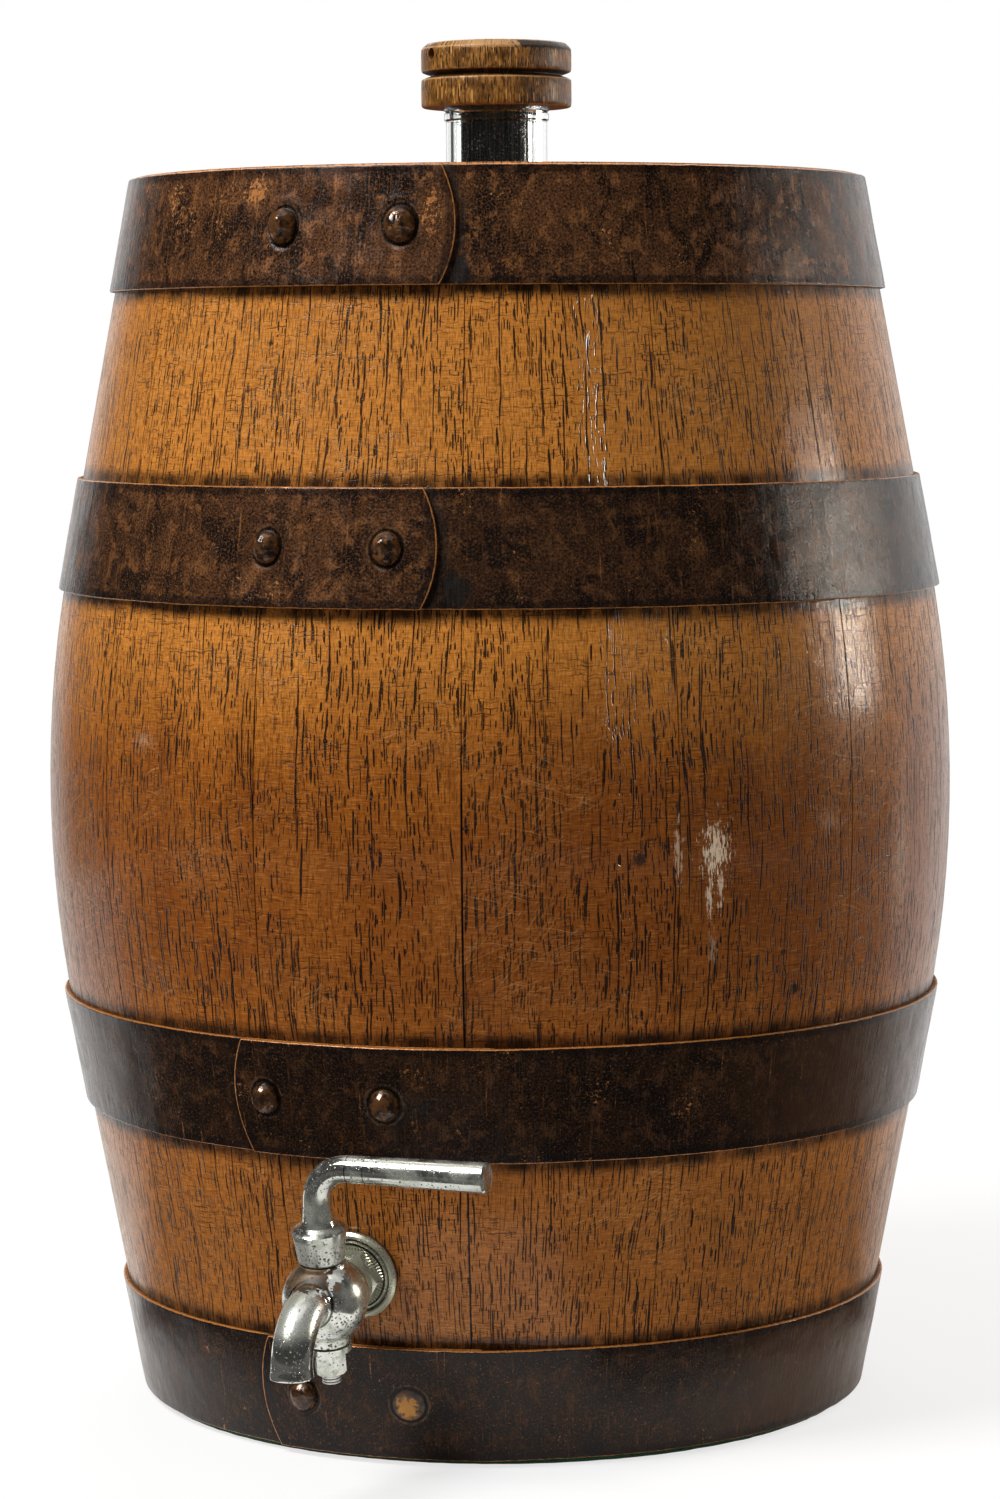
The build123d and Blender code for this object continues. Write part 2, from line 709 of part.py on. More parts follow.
def make_tooth_washer():
    """Lock washer with fine radial serrations on its face."""
    low = leather_thickness + flange_base
    disc = Pos(0, 0, low) * extrude(Circle(tooth_washer_radius), tooth_washer_thickness) - shank_hole()
    side = tooth_depth * sqrt(2)
    notch = Rot(45, 0, 0) * Box(2 * tooth_length, side, side)
    notch = Pos(tooth_washer_radius, 0, low + tooth_washer_thickness) * notch
    return outwards(disc - PolarLocations(0, tooth_count) * notch)


def make_tap_nut():
    """Hexagon nut with a bevelled front."""
    low = leather_thickness + flange_base + tooth_washer_thickness
    corner = tap_nut_flats / sqrt(3)
    bevel = spun([(0, 0), (corner, 0), (corner, tap_nut_height - tap_nut_bevel / 2),
                  (corner - tap_nut_bevel, tap_nut_height), (0, tap_nut_height)])
    nut = (hexagon(tap_nut_flats, tap_nut_height) & bevel) - shank_hole()
    return outwards(Pos(0, 0, low) * nut)


def make_back_washer():
    """Washer inside the cask, flat against the stave."""
    height = back_washer_thickness + cut_past
    blank = Cylinder(back_washer_radius, height, align=(Align.CENTER, Align.CENTER, Align.MAX))
    blank = outwards(Pos(0, 0, cut_past - stave_thickness) * blank - shank_hole())
    height = 2 * back_washer_radius
    low, high = foot_z + tap_height - height, foot_z + tap_height + height
    far = 2 * bulge_radius
    wood = spun([(inner_radius(low) - wood_gap, low), (far, low), (far, high), (inner_radius(high) - wood_gap, high)])
    return tap_place() * blank - wood


def make_back_nut():
    nut = hexagon(back_nut_flats, back_nut_height) - shank_hole()
    return outwards(Pos(0, 0, -stave_thickness - back_washer_thickness - back_nut_height) * nut)


def make_liner_seal(liner):
    """Rubber ring round the shank, gripping both sides of the vessel's wall."""
    wide = shank_radius + liner_seal_wall + liner_seal_flange
    depth = shell_radius(foot_z + tap_height) - liner_radius
    ends = liner_wall + 2 * liner_seal_lip + liner_seal_lip / 2
    blank = Circle(wide) - Circle(shank_radius + thread_clearance)
    blank = extrude(blank, ends)
    ring_blank = outwards(Pos(0, 0, -depth - ends + liner_seal_lip) * blank)
    return tap_place() * ring_blank - liner


def save(name, shape):
    export_step(shape, os.path.join("parts", name + ".step"))


def main():
    os.makedirs("parts", exist_ok=True)
    for number, stave in enumerate(make_staves(), start=1):
        save(f"stave_{number:02d}", stave)
    for number, board in enumerate(make_top_boards(), start=1):
        save(f"top_board_{number}", board)
    for number, board in enumerate(make_foot_boards(), start=1):
        save(f"foot_board_{number}", board)
    save("felt_pad", make_felt())
    for hoop in hoops:
        save("hoop_" + hoop.name, make_hoop(hoop))
        save("rivets_" + hoop.name, make_rivets(hoop))
    liner = make_liner()
    save("liner", liner)
    save("liner_cushion", make_cushion())
    save("liner_grommet", make_grommet())
    save("filler_tube", make_tube())
    save("head_bush", make_bush())
    save("stopper_knob", make_stopper())
    save("stopper_seal", make_seal())
    save("stopper_sleeve", make_sleeve())
    place = tap_place()
    save("tap_body", place * make_tap_body())
    save("tap_key", place * make_key())
    save("tap_lever", place * make_lever())
    save("key_washer", place * make_key_washer())
    save("key_nut", place * make_key_nut())
    save("tap_leather", make_leather())
    save("tap_flange", place * make_flange())
    save("tap_tooth_washer", place * make_tooth_washer())
    save("tap_nut", place * make_tap_nut())
    save("tap_back_washer", make_back_washer())
    save("tap_back_nut", place * make_back_nut())
    save("tap_liner_seal", make_liner_seal(liner))


main()
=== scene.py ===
import json
import math

import bmesh
import bpy
from mathutils import Matrix, Vector, noise


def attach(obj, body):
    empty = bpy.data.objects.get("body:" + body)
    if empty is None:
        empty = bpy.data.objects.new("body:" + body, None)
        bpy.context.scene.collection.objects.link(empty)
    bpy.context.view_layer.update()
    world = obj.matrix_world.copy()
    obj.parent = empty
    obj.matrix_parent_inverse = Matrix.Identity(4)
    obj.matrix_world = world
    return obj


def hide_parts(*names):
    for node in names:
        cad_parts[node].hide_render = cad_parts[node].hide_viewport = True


# A small oak counter cask: 14 varnished oak staves, four copper hoops with a dark patina, a glass
# filler tube with a turned stopper, and a chromed lever tap. Lengths named below are millimetres
# and are turned into metres where a mesh is made. Angles are degrees from the front, and those to
# the right are positive.

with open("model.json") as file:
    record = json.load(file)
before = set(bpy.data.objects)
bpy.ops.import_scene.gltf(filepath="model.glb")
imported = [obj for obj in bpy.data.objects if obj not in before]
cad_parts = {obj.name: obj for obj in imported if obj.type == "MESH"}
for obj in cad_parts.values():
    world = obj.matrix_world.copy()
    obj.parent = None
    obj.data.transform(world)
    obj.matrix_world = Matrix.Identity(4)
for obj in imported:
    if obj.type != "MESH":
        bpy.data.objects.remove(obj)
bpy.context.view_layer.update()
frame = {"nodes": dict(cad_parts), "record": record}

MM = 0.001

# Cask
stave_length = 380.0
bulge_radius = 142.0
bend_half_length = 70.0
end_slope = math.radians(10.6)
stave_count = 14
seam_angle = 9.857          # the first seam lies this far left of the front
foot_z = 1.5
rim_z = foot_z + stave_length
middle_z = foot_z + stave_length / 2
seam_radius = 135.0         # turns a share of a stave's width into millimetres
face_radius = 128.0         # places on the face are told along a drum of this radius

# Hoops
hoop_width = 34.5
hoop_thickness = 1.6
hoop_clearance = 0.1
hoop_gap = 57.5
hoop_end_inset = 0.6
hoop_rise = hoop_width + hoop_gap   # from an end hoop to the one next to it
top_low = rim_z - hoop_end_inset - hoop_width
foot_low = foot_z + hoop_end_inset
lap_length = 34.0
lap_climb = 12.0
lap_gap = 0.08
lap_end_radius = 37.0
lap_end_trim = 0.4

# Stopper
stopper_low = 403.2
stopper_height = 19.9
stopper_radius = 23.5
stopper_groove = 9.8
vent_radius = 1.85
vent_level = 16.0
vent_angle = -39.0

# Tap: its own frame has its origin on the wood, with -Y outwards and +Z along the key
tap_foot_y = -123.811
tap_foot_z = 59.0
tap_reach = 23.8
globe_radius = 12.5
spout_rise = 3.9


def shell_radius(z):
    """Outer radius of the cask at height z."""
    bend_radius = bend_half_length / math.sin(end_slope)
    height = abs(z - middle_z)
    if height <= bend_half_length:
        return bulge_radius - bend_radius + math.sqrt(bend_radius ** 2 - height ** 2)
    drop = bend_radius * (1 - math.cos(end_slope))
    return bulge_radius - drop - (height - bend_half_length) * math.tan(end_slope)


def smooth(x, low, high):
    """0 below low, 1 above high, with soft ends."""
    x = min(max((x - low) / (high - low), 0.0), 1.0)
    return x * x * (3 - 2 * x)


# Materials

materials = {}


class Value:
    """A number or colour in a material's node tree. Its sums and products add maths nodes."""

    def __init__(self, graph, socket):
        self.graph = graph
        self.socket = socket

    def __add__(self, other):
        return self.graph.math("ADD", self, other)

    def __sub__(self, other):
        return self.graph.math("SUBTRACT", self, other)

    def __rsub__(self, other):
        return self.graph.math("SUBTRACT", other, self)

    def __mul__(self, other):
        return self.graph.math("MULTIPLY", self, other)

    def __truediv__(self, other):
        return self.graph.math("DIVIDE", self, other)

    def __abs__(self):
        return self.graph.math("ABSOLUTE", self)


class Graph:
    """A material's node tree, built by short calls that take numbers, values or sockets."""

    def __init__(self, name):
        self.name = name
        self.material = bpy.data.materials.new(name)
        self.material.use_nodes = True
        self.tree = self.material.node_tree
        self.tree.nodes.clear()
        self.coordinates = self.add("ShaderNodeTexCoord").outputs["Object"]
        self.colour = None          # the paint so far, under what is laid over it next

    def add(self, kind, **settings):
        node = self.tree.nodes.new(kind)
        for key, value in settings.items():
            setattr(node, key, value)
        return node

    def put(self, socket, value):
        if value is None:
            return
        if isinstance(value, Value):
            value = value.socket
        if isinstance(value, bpy.types.NodeSocket):
            self.tree.links.new(value, socket)
        elif isinstance(value, tuple) and len(value) < len(socket.default_value):
            socket.default_value = (*value, 1.0)
        else:
            socket.default_value = value

    def math(self, operation, a, b=None, c=None):
        node = self.add("ShaderNodeMath", operation=operation)
        for socket, value in zip(node.inputs, (a, b, c)):
            self.put(socket, value)
        return Value(self, node.outputs[0])

    def times_plus(self, a, factor, more):
        return self.math("MULTIPLY_ADD", a, factor, more)

    def most(self, a, b):
        """The greater of two values. The first may be None, at the start of a row of them."""
        return b if a is None else self.math("MAXIMUM", a, b)

    def place(self, vector):
        """A socket for a place, which may also be told as two or three values."""
        return self.vector(*vector) if isinstance(vector, tuple) else vector

    def vector(self, x, y, z=0.0):
        node = self.add("ShaderNodeCombineXYZ")
        for socket, value in zip(node.inputs, (x, y, z)):
            self.put(socket, value)
        return node.outputs[0]

    def length(self, vector):
        vector = self.place(vector)
        node = self.add("ShaderNodeVectorMath", operation="LENGTH")
        self.put(node.inputs[0], vector)
        return Value(self, node.outputs["Value"])

    def split(self, vector):
        node = self.add("ShaderNodeSeparateXYZ")
        self.put(node.inputs[0], vector)
        return [Value(self, output) for output in node.outputs]

    def step(self, x, low, high, out_low=0.0, out_high=1.0):
        """Soft step from out_low to out_high as x goes from low to high."""
        node = self.add("ShaderNodeMapRange", interpolation_type="SMOOTHSTEP")
        for socket, value in zip(node.inputs, (x, low, high, out_low, out_high)):
            self.put(socket, value)
        return Value(self, node.outputs[0])

    def mix(self, share, a, b):
        node = self.add("ShaderNodeMix", data_type="RGBA")
        self.put(node.inputs[0], share)
        self.put(node.inputs[6], a)
        self.put(node.inputs[7], b)
        return Value(self, node.outputs[2])

    def paint(self, share, colour):
        """Lays a colour over the paint so far, by a share from 0 to 1."""
        self.colour = self.mix(share, self.colour, colour)

    def noise(self, vector, scale, detail=3.0, roughness=0.5, distortion=0.0):
        vector = self.place(vector)
        node = self.add("ShaderNodeTexNoise")
        self.put(node.inputs["Vector"], vector)
        for name, value in (("Scale", scale), ("Detail", detail), ("Roughness", roughness),
                            ("Distortion", distortion)):
            self.put(node.inputs[name], value)
        return Value(self, node.outputs["Fac"])

    def cells(self, vector, scale):
        node = self.add("ShaderNodeTexVoronoi")
        self.put(node.inputs["Vector"], vector)
        self.put(node.inputs["Scale"], scale)
        return node

    def chance(self, value):
        """A random number that stays the same for the same value."""
        node = self.add("ShaderNodeTexWhiteNoise", noise_dimensions="1D")
        self.put(node.inputs["W"], value)
        return Value(self, node.outputs["Value"])

    def tap_frame(self):
        """Millimetres in the tap's own frame: across, out of the cask and up the key."""
        x, y, z = self.split(self.coordinates)
        y = self.times_plus(y, 1000.0, -tap_foot_y)
        z = self.times_plus(z, 1000.0, -tap_foot_z)
        cosine, sine = math.cos(end_slope), math.sin(end_slope)
        out = y * cosine + z * sine
        rise = z * cosine - y * sine
        return x * 1000.0, out, rise

    def far(self, point, centre, sizes):
        """Distance from a centre, where 1 is the edge of a round with the given half sizes."""
        return self.length(tuple(self.times_plus(p, 1.0 / size, -c / size)
                                 for p, c, size in zip(point, centre, sizes)))

    def line(self, x, place, half_width, soft=0.1):
        """1 on a thin line where x is near a place."""
        away = abs(x - place)
        return self.step(away, half_width, half_width + soft, 1.0, 0.0)

    def mark(self, name):
        """A number stored on the mesh under a name."""
        return Value(self, self.add("ShaderNodeAttribute", attribute_name=name).outputs["Fac"])

    def bump(self, height, distance, strength=1.0, under=None):
        node = self.add("ShaderNodeBump")
        self.put(node.inputs["Height"], height)
        self.put(node.inputs["Distance"], distance)
        self.put(node.inputs["Strength"], strength)
        self.put(node.inputs["Normal"], under)
        return node.outputs[0]

    def finish(self, **inputs):
        shader = self.add("ShaderNodeBsdfPrincipled")
        for name, value in inputs.items():
            self.put(shader.inputs[name.replace("_", " ")], value)
        out = self.add("ShaderNodeOutputMaterial")
        self.tree.links.new(shader.outputs[0], out.inputs[0])
        materials[self.name] = self.material
        return self.material


def round_cask(g):
    """Millimetres along the cask's face and up it, the stave's number and the place across it."""
    x, y, z = g.split(g.coordinates)
    shift = math.radians(seam_angle)
    ahead = y * -math.cos(shift) - x * math.sin(shift)
    aside = x * math.cos(shift) - y * math.sin(shift)
    turn = g.math("ARCTAN2", aside, ahead)
    staves = turn * (stave_count / (2 * math.pi))
    number = g.math("FLOOR", staves)
    across = staves - number
    along = turn * face_radius
    up = z * 1000.0
    return along, up, number, across


def dashes(g, along, up, spacing, length, width, presence, seed):
    """Short upright strokes, one in each cell of a stretched pattern."""
    grid = g.vector(along / spacing, up / length, seed)
    node = g.cells(grid, 1.0)
    centre_x, centre_y, _ = g.split(node.outputs["Position"])
    colour_r, colour_g, colour_b = g.split(node.outputs["Color"])
    off_x = abs((along / spacing - centre_x) * spacing)
    off_y = abs((up / length - centre_y) * length)
    half_long = g.times_plus(colour_g, length * 0.42, length * 0.10)
    taper = g.step(off_y, half_long * 0.55, half_long, 1.0, 0.0)
    half_wide = g.times_plus(colour_r, width * 0.4, width * 0.25) * taper
    edge = half_wide - off_x
    stroke = g.step(edge, -0.05, 0.05)
    here = g.math("LESS_THAN", colour_b, presence) * g.math("GREATER_THAN", taper, 0.02)
    return stroke * here


def oak(name):
    """Varnished oak: orange brown, with dark filled pores, fibres, fine cracks, soiling and painted
    shade along the hoops, and painted light from above.
    """
    g = Graph(name)
    along, up, number, across = round_cask(g)
    luck = g.chance(number)
    drift = g.noise((along * 0.02, up * 0.010, number), 1.0, 2.0)
    grain = along + g.times_plus(drift, 9.0, luck * 300.0)
    bend = g.noise((grain * 0.3, up * 0.07, number), 1.0, 2.0)
    fine = grain + bend * 1.4

    broad = g.noise((grain * 0.9, up * 0.12, number), 0.06, 3.0, 0.6)
    fibre = g.noise((fine, up * 0.05, number), 1.0, 5.0, 0.7)
    fleck = g.noise((fine, up * 0.16, number), 2.4, 3.0, 0.7)
    cloud = g.noise((along, up, number), 0.024, 4.0, 0.6)

    g.colour = g.mix(g.step(broad, 0.3, 0.7), (0.310, 0.090, 0.0080), (0.440, 0.140, 0.0150))
    g.paint(luck * 0.35, (0.42, 0.155, 0.022))
    g.paint(g.step(fibre, 0.36, 0.56, 0.55, 0.0), (0.150, 0.036, 0.004))
    g.paint(g.step(fleck, 0.36, 0.52, 0.55, 0.0), (0.120, 0.030, 0.0035))
    g.paint(g.step(cloud, 0.44, 0.66, 0.0, 0.55), (0.150, 0.038, 0.0045))

    # Painted light: the upper part is painted paler, as if lit from above. Low on the bulge the
    # stain is darker, towards both ends the wood is paler and yellower, and near the foot it is
    # darker.
    lower = g.step(up, 128.0, 150.0) * g.step(up, 185.0, 228.0, 1.0, 0.0)
    g.paint(lower * 0.48, (0.150, 0.034, 0.0030))
    g.paint(g.step(up, 205.0, 250.0, 0.0, 0.54), (0.76, 0.302, 0.050))
    level = abs(up - middle_z)
    g.paint(g.step(level, 62.0, 100.0, 0.0, 0.32), (0.50, 0.192, 0.034))
    g.paint(g.step(up, 60.0, 95.0, 0.36, 0.0), (0.22, 0.078, 0.014))

    # Threads along the grain and across it, fine as linen.
    thread = g.noise((fine * 2.6, up * 0.35, number), 1.0, 2.0, 0.6)
    weft = g.noise((along * 0.22, up * 2.4, number), 1.0, 2.0, 0.6)
    g.paint(g.step(thread, 0.35, 0.60, 0.50, 0.0), (0.150, 0.040, 0.005))
    g.paint(g.step(weft, 0.36, 0.56, 0.32, 0.0), (0.120, 0.032, 0.004))
    g.paint(g.step(weft, 0.52, 0.72, 0.0, 0.30), (0.56, 0.235, 0.060))

    patchy = g.step(g.noise((grain * 0.8, up * 0.3, number), 0.05, 2.0), 0.30, 0.50, 0.30, 1.0)
    pores = dashes(g, fine, up, 1.5, 9.0, 0.40, 0.58, 0.0)
    pores = g.most(pores, dashes(g, fine, up, 0.95, 4.0, 0.30, 0.50, 3.3))
    pores = pores * patchy
    pores = g.most(pores, dashes(g, fine, up, 2.4, 20.0, 0.46, 0.50, 5.1))
    long_cracks = dashes(g, fine, up, 5.5, 55.0, 0.42, 0.65, 7.9)
    depth = g.most(pores, long_cracks)
    depth = depth * g.step(weft, 0.30, 0.42, 0.45, 1.0)
    g.paint(depth * 0.95, (0.005, 0.0015, 0.0004))

    # Fine level cracks in the varnish, in patches.
    ridden = g.times_plus(bend, 2.2, up)
    level_cracks = dashes(g, ridden, fine, 1.15, 5.5, 0.26, 0.55, 9.1)
    level_cracks = g.most(level_cracks, dashes(g, ridden, fine, 2.0, 13.0, 0.26, 0.40, 12.7))
    crazed = g.step(g.noise((along, up * 1.3, 3.0), 0.030, 3.0, 0.6), 0.42, 0.58, 0.25, 1.0)
    craze_mask = level_cracks * (crazed * 0.72)
    g.paint(craze_mask, (0.040, 0.011, 0.0015))

    # Hairline scratches that run slantwise.
    for slant, seed, strength in ((0.45, 2.0, 0.30), (-0.25, 8.0, 0.24), (1.6, 5.0, 0.26)):
        run = g.times_plus(up, slant, along)
        rest = g.times_plus(along, -slant, up)
        rest = g.times_plus(cloud, 9.0, rest)
        hair = g.noise((run * 0.014, rest * 0.9, seed), 1.0, 1.0, 0.5)
        here = g.step(g.noise((along, up, seed), 0.020, 2.0), 0.50, 0.62, 0.0, strength)
        g.paint(g.line(hair, 0.56, 0.004, 0.010) * here, (0.62, 0.33, 0.13))
        g.paint(g.line(hair, 0.43, 0.004, 0.012) * here, (0.040, 0.012, 0.002))

    # Soiling and painted shade next to the hoops' edges, and the seams between the staves.
    dirt_and_shade = None
    for edge in (foot_low + hoop_width, foot_low + hoop_rise, foot_low + hoop_rise + hoop_width,
                 top_low - hoop_rise, top_low - hoop_gap, top_low):
        dirt_and_shade = g.most(dirt_and_shade, g.step(abs(up - edge), 1.4, 5.2, 1.0, 0.0))
    patches = g.noise((along, up * 0.3), 0.16, 4.0, 0.7)
    dirt_and_shade = dirt_and_shade * g.step(patches, 0.35, 0.62, 0.45, 1.0)
    g.paint(dirt_and_shade * 0.95, (0.010, 0.004, 0.0015))
    seam_distance = (0.5 - abs(across - 0.5)) * (2 * math.pi * seam_radius / stave_count)
    seam_break = g.step(g.noise((number, up * 0.02), 1.0, 2.0), 0.46, 0.64, 0.0, 0.45)
    seam = g.step(seam_distance, 0.10, 0.34, 1.0, 0.0) * seam_break
    open_seam = g.line(along, 57.45, 0.22, 0.15) * g.step(up, 200.0, 216.0, 1.0, 0.0)
    seam = g.most(seam, open_seam)
    g.paint(seam, (0.008, 0.003, 0.001))

    # White scuffs through the varnish, and dark spots.
    rubbed = g.noise((along * 1.6, up * 0.26), 1.0, 4.0, 0.75)
    for centre_along, centre_up, wide, tall, strength in (
            (125.2, 184.0, 4.2, 8.5, 0.92), (123.6, 171.0, 1.1, 6.5, 0.80),
            (126.8, 173.0, 1.1, 6.0, 0.70), (114.5, 184.0, 1.3, 10.0, 0.45),
            (125.0, 156.0, 1.5, 5.0, 0.25), (163.0, 190.0, 5.0, 4.0, 0.15),
            (197.0, 175.0, 6.0, 22.0, 0.18), (-40.0, 214.0, 5.0, 3.0, 0.14)):
        away = g.far((along, up), (centre_along, centre_up), (wide, tall))
        scuff = g.step(rubbed - away * 0.16, 0.37, 0.45, 0.0, strength)
        g.paint(scuff, (0.78, 0.60, 0.42))
    for centre_along, centre_up, size in (
            (103.8, 182.5, 2.6), (153.1, 141.2, 2.4), (148.0, 152.5, 1.3),
            (-62.0, 238.0, 1.6), (20.0, 143.0, 1.2), (-5.0, 330.0, 1.1)):
        away = g.far((along, up), (centre_along, centre_up), (size, size)) + rubbed * 0.9
        g.paint(g.step(away, 0.75, 1.5, 0.85, 0.0), (0.014, 0.006, 0.003))

    height = depth * -1.0 + fibre * 0.25
    height = height - craze_mask * 0.35
    height = g.times_plus(thread, 0.28, height)
    height = g.times_plus(long_cracks, 0.8, height)
    swell = g.noise((along, up * 0.4), 0.05, 2.0)
    swollen = g.bump(swell, 0.0006, 0.4)
    normal = g.bump(height, 0.00018, 0.8, swollen)
    # The varnish follows the threads more sharply, which breaks up its reflections.
    coat_normal = g.bump(g.times_plus(thread, 0.12, height), 0.00018, 0.75, swollen)
    rough = g.step(fibre, 0.3, 0.7, 0.24, 0.34) + depth * 0.3
    return g.finish(Base_Color=g.colour, Roughness=rough, Normal=normal, Specular_IOR_Level=0.08,
                    Sheen_Weight=0.17, Sheen_Roughness=0.26, Sheen_Tint=(1.0, 0.80, 0.54),
                    Coat_Weight=0.36, Coat_Roughness=0.09, Coat_Normal=coat_normal)


def board_oak(name, board_width):
    """Flat oak boards side by side, with straight grain, random stains, and darker near the rim and
    round the middle.
    """
    g = Graph(name)
    x, y, _ = g.split(g.coordinates)
    across = x * 1000.0
    along = y * 1000.0
    boards = across / board_width
    number = g.math("ROUND", boards)
    luck = g.chance(number + 0.5)
    drift = g.noise((across * 0.018, along * 0.007, number), 1.0, 2.0)
    grain = across + g.times_plus(drift, 34.0, luck * 200.0)
    rings = g.noise((grain, along * 0.01, number), 0.30, 3.0, 0.6)
    fibre = g.noise((grain, along * 0.05, number), 1.1, 5.0, 0.7)
    cloud = g.noise((across, along, number), 0.030, 4.0, 0.65)
    g.colour = g.mix(g.step(rings, 0.38, 0.60), (0.240, 0.086, 0.0120), (0.400, 0.162, 0.0280))
    g.paint(luck * 0.4, (0.30, 0.110, 0.016))
    g.paint(g.step(fibre, 0.36, 0.56, 0.60, 0.0), (0.110, 0.034, 0.005))
    pores = g.most(dashes(g, grain, along, 1.5, 9.0, 0.40, 0.50, 2.0),
                   dashes(g, grain, along, 0.95, 4.5, 0.30, 0.45, 7.0))
    g.paint(pores * 0.88, (0.008, 0.003, 0.001))
    reach = g.length((across, along))
    rim = g.step(g.times_plus(cloud, 26.0, reach), 102.0, 124.0)
    middle = g.step(g.times_plus(cloud, 20.0, reach), 28.0, 46.0, 1.0, 0.0)
    darkening = g.most(g.most(rim, middle), g.step(cloud, 0.55, 0.72, 0.0, 0.6))
    g.paint(darkening * 0.62, (0.055, 0.020, 0.005))
    seam = g.step(abs(boards - number), 0.4925, 0.497)
    g.paint(seam, (0.008, 0.003, 0.001))
    height = fibre * 0.4 - (pores + seam)
    return g.finish(Base_Color=g.colour, Roughness=g.step(fibre, 0.3, 0.7, 0.30, 0.42),
                    Normal=g.bump(height, 0.00022, 0.8), Specular_IOR_Level=0.2, Coat_Weight=0.2,
                    Coat_Roughness=0.24)


def aged_copper(name):
    """Copper under a dark brown patina, with flakes, scratches and bright worn edges."""
    g = Graph(name)
    along, up, _, _ = round_cask(g)
    place = g.vector(along, up)
    tall = g.vector(along, up * 0.80)
    cloud = g.noise(tall, 0.050, 4.0, 0.62, 0.8)
    mottle = g.noise(tall, 0.20, 5.0, 0.68, 0.4)
    grit = g.noise(place, 1.35, 4.0, 0.78)
    # The upper hoops are browner, the lower ones nearly black.
    high = g.step(up, 60.0, 350.0)
    dark = g.mix(high, (0.0055, 0.0034, 0.0030), (0.0100, 0.0066, 0.0056))
    brown = g.mix(high, (0.0165, 0.0070, 0.0032), (0.0840, 0.0350, 0.0150))
    red = g.mix(high, (0.0560, 0.0210, 0.0062), (0.2350, 0.0920, 0.0290))
    g.colour = g.mix(g.step(cloud, 0.36, 0.56), dark, brown)
    g.paint(g.step(mottle, 0.50, 0.64, 0.0, 0.85), red)
    patch = g.noise(tall, 0.085, 4.0, 0.6, 0.5)
    g.paint(g.step(patch, 0.54, 0.60, 0.0, 0.92), dark)
    g.paint(g.step(grit, 0.40, 0.52, 0.85, 0.0), (0.004, 0.0028, 0.0025))
    g.paint(g.step(grit, 0.53, 0.64, 0.0, 0.75), red)
    # Specks of lighter copper, which also serve as painted glints.
    copper_specks_and_glints = g.noise(place, 1.3, 2.0, 0.5)
    g.paint(g.step(copper_specks_and_glints, 0.62, 0.72, 0.0, 0.5), (0.21, 0.105, 0.045))
    brushed = g.noise((along, up * 0.045, 6.0), 1.7, 3.0, 0.65)
    rough = g.step(mottle, 0.3, 0.7, 0.11, 0.24) + g.step(brushed, 0.38, 0.62, -0.06, 0.10)
    # Painted shade: the second hoop is painted darker in front, most of all on the right.
    second_hoop_shade = g.line(up, 271.6, 17.0, 2.0) * g.step(along, 40.0, 62.0)
    right = g.step(along, 130.0, 170.0)
    g.paint(second_hoop_shade * g.times_plus(right, 0.20, 0.42), (0.0080, 0.0052, 0.0044))
    # Painted light: the lower hoops are painted lighter brown on the left and right.
    lit_sides = g.most(g.step(along, 120.0, 190.0), g.step(along, -120.0, -50.0, 1.0, 0.0))
    g.paint(lit_sides * g.step(up, 100.0, 240.0, 0.62, 0.0), (0.078, 0.036, 0.0170))
    # Flakes of bare copper gather in places, most of them left of the top hoop's rivets.
    gather = g.step(g.noise(place, 0.060, 3.0, 0.55), 0.48, 0.72)
    cluster = None
    for centre_along, centre_up, wide, tall in ((-56.0, 373.0, 7.0, 6.0), (-48.0, 367.0, 10.0, 6.0),
                                                (-27.0, 371.0, 5.0, 11.0), (-14.0, 374.0, 6.0, 5.0),
                                                (47.0, 366.0, 5.0, 12.0)):
        away = g.far((along, up), (centre_along, centre_up), (wide, tall))
        heap = g.step(away, 0.3, 1.5, 1.0, 0.0)
        cluster = g.most(cluster, heap)
    flakes = g.noise(place, 0.66, 7.0, 0.82, 0.3)
    flakes = g.times_plus(cluster, 0.115, flakes)
    flakes = g.times_plus(right, -0.05, flakes)
    bare = g.step(flakes + gather * 0.105, 0.668, 0.688)
    specks = g.step(g.noise(place, 2.6, 4.0, 0.75) + gather * 0.05, 0.655, 0.70, 0.0, 0.85)
    bare = g.most(bare, specks)
    # Upright scratches and rolling marks.
    streak = g.noise((along, up * 0.05, 4.0), 1.1, 3.0, 0.6)
    g.paint(g.step(streak, 0.54, 0.74, 0.0, 0.28), red)
    scratch = g.step(streak, 0.69, 0.72) * g.step(grit, 0.40, 0.60)
    bare = g.most(bare, scratch * 0.5)
    edge = g.mark("edge")
    rim_noise = g.noise(place, 0.5, 3.0)
    bright_edge = g.step(edge + rim_noise * 0.5, 0.40, 0.62, 1.0, 0.0)
    dark_edge = g.step(edge - rim_noise * 3.6, 0.0, 1.2, 1.0, 0.0)
    g.paint(dark_edge * 0.6, (0.006, 0.004, 0.004))
    bare = g.most(bare * 0.85, bright_edge * 0.85)
    worn_copper = g.mix(g.noise(place, 1.1, 2.0), (0.28, 0.090, 0.018), (0.70, 0.30, 0.090))
    g.paint(bare, worn_copper)
    # The tight rings pressed in round the rivets: painted shade in the groove and a painted
    # highlight on the lip outside it.
    ring = g.mark("ring")
    groove = g.line(ring + rim_noise * 0.3, 0.45, 0.28, 0.3)
    lip = g.line(ring + rim_noise * 0.9, 1.6, 0.10, 0.35)
    lip = lip * g.step(mottle, 0.42, 0.56, 0.0, 0.45)
    g.paint(lip, (0.16, 0.085, 0.045))
    g.paint(groove * 0.9, (0.004, 0.003, 0.002))
    # The shade mark is a painted shadow just past the lap's outer end, and the packed dirt below is
    # laid on with it.
    shade = g.mark("shade") * g.step(g.noise(place, 0.8, 3.0, 0.7), 0.30, 0.50, 0.5, 1.0)
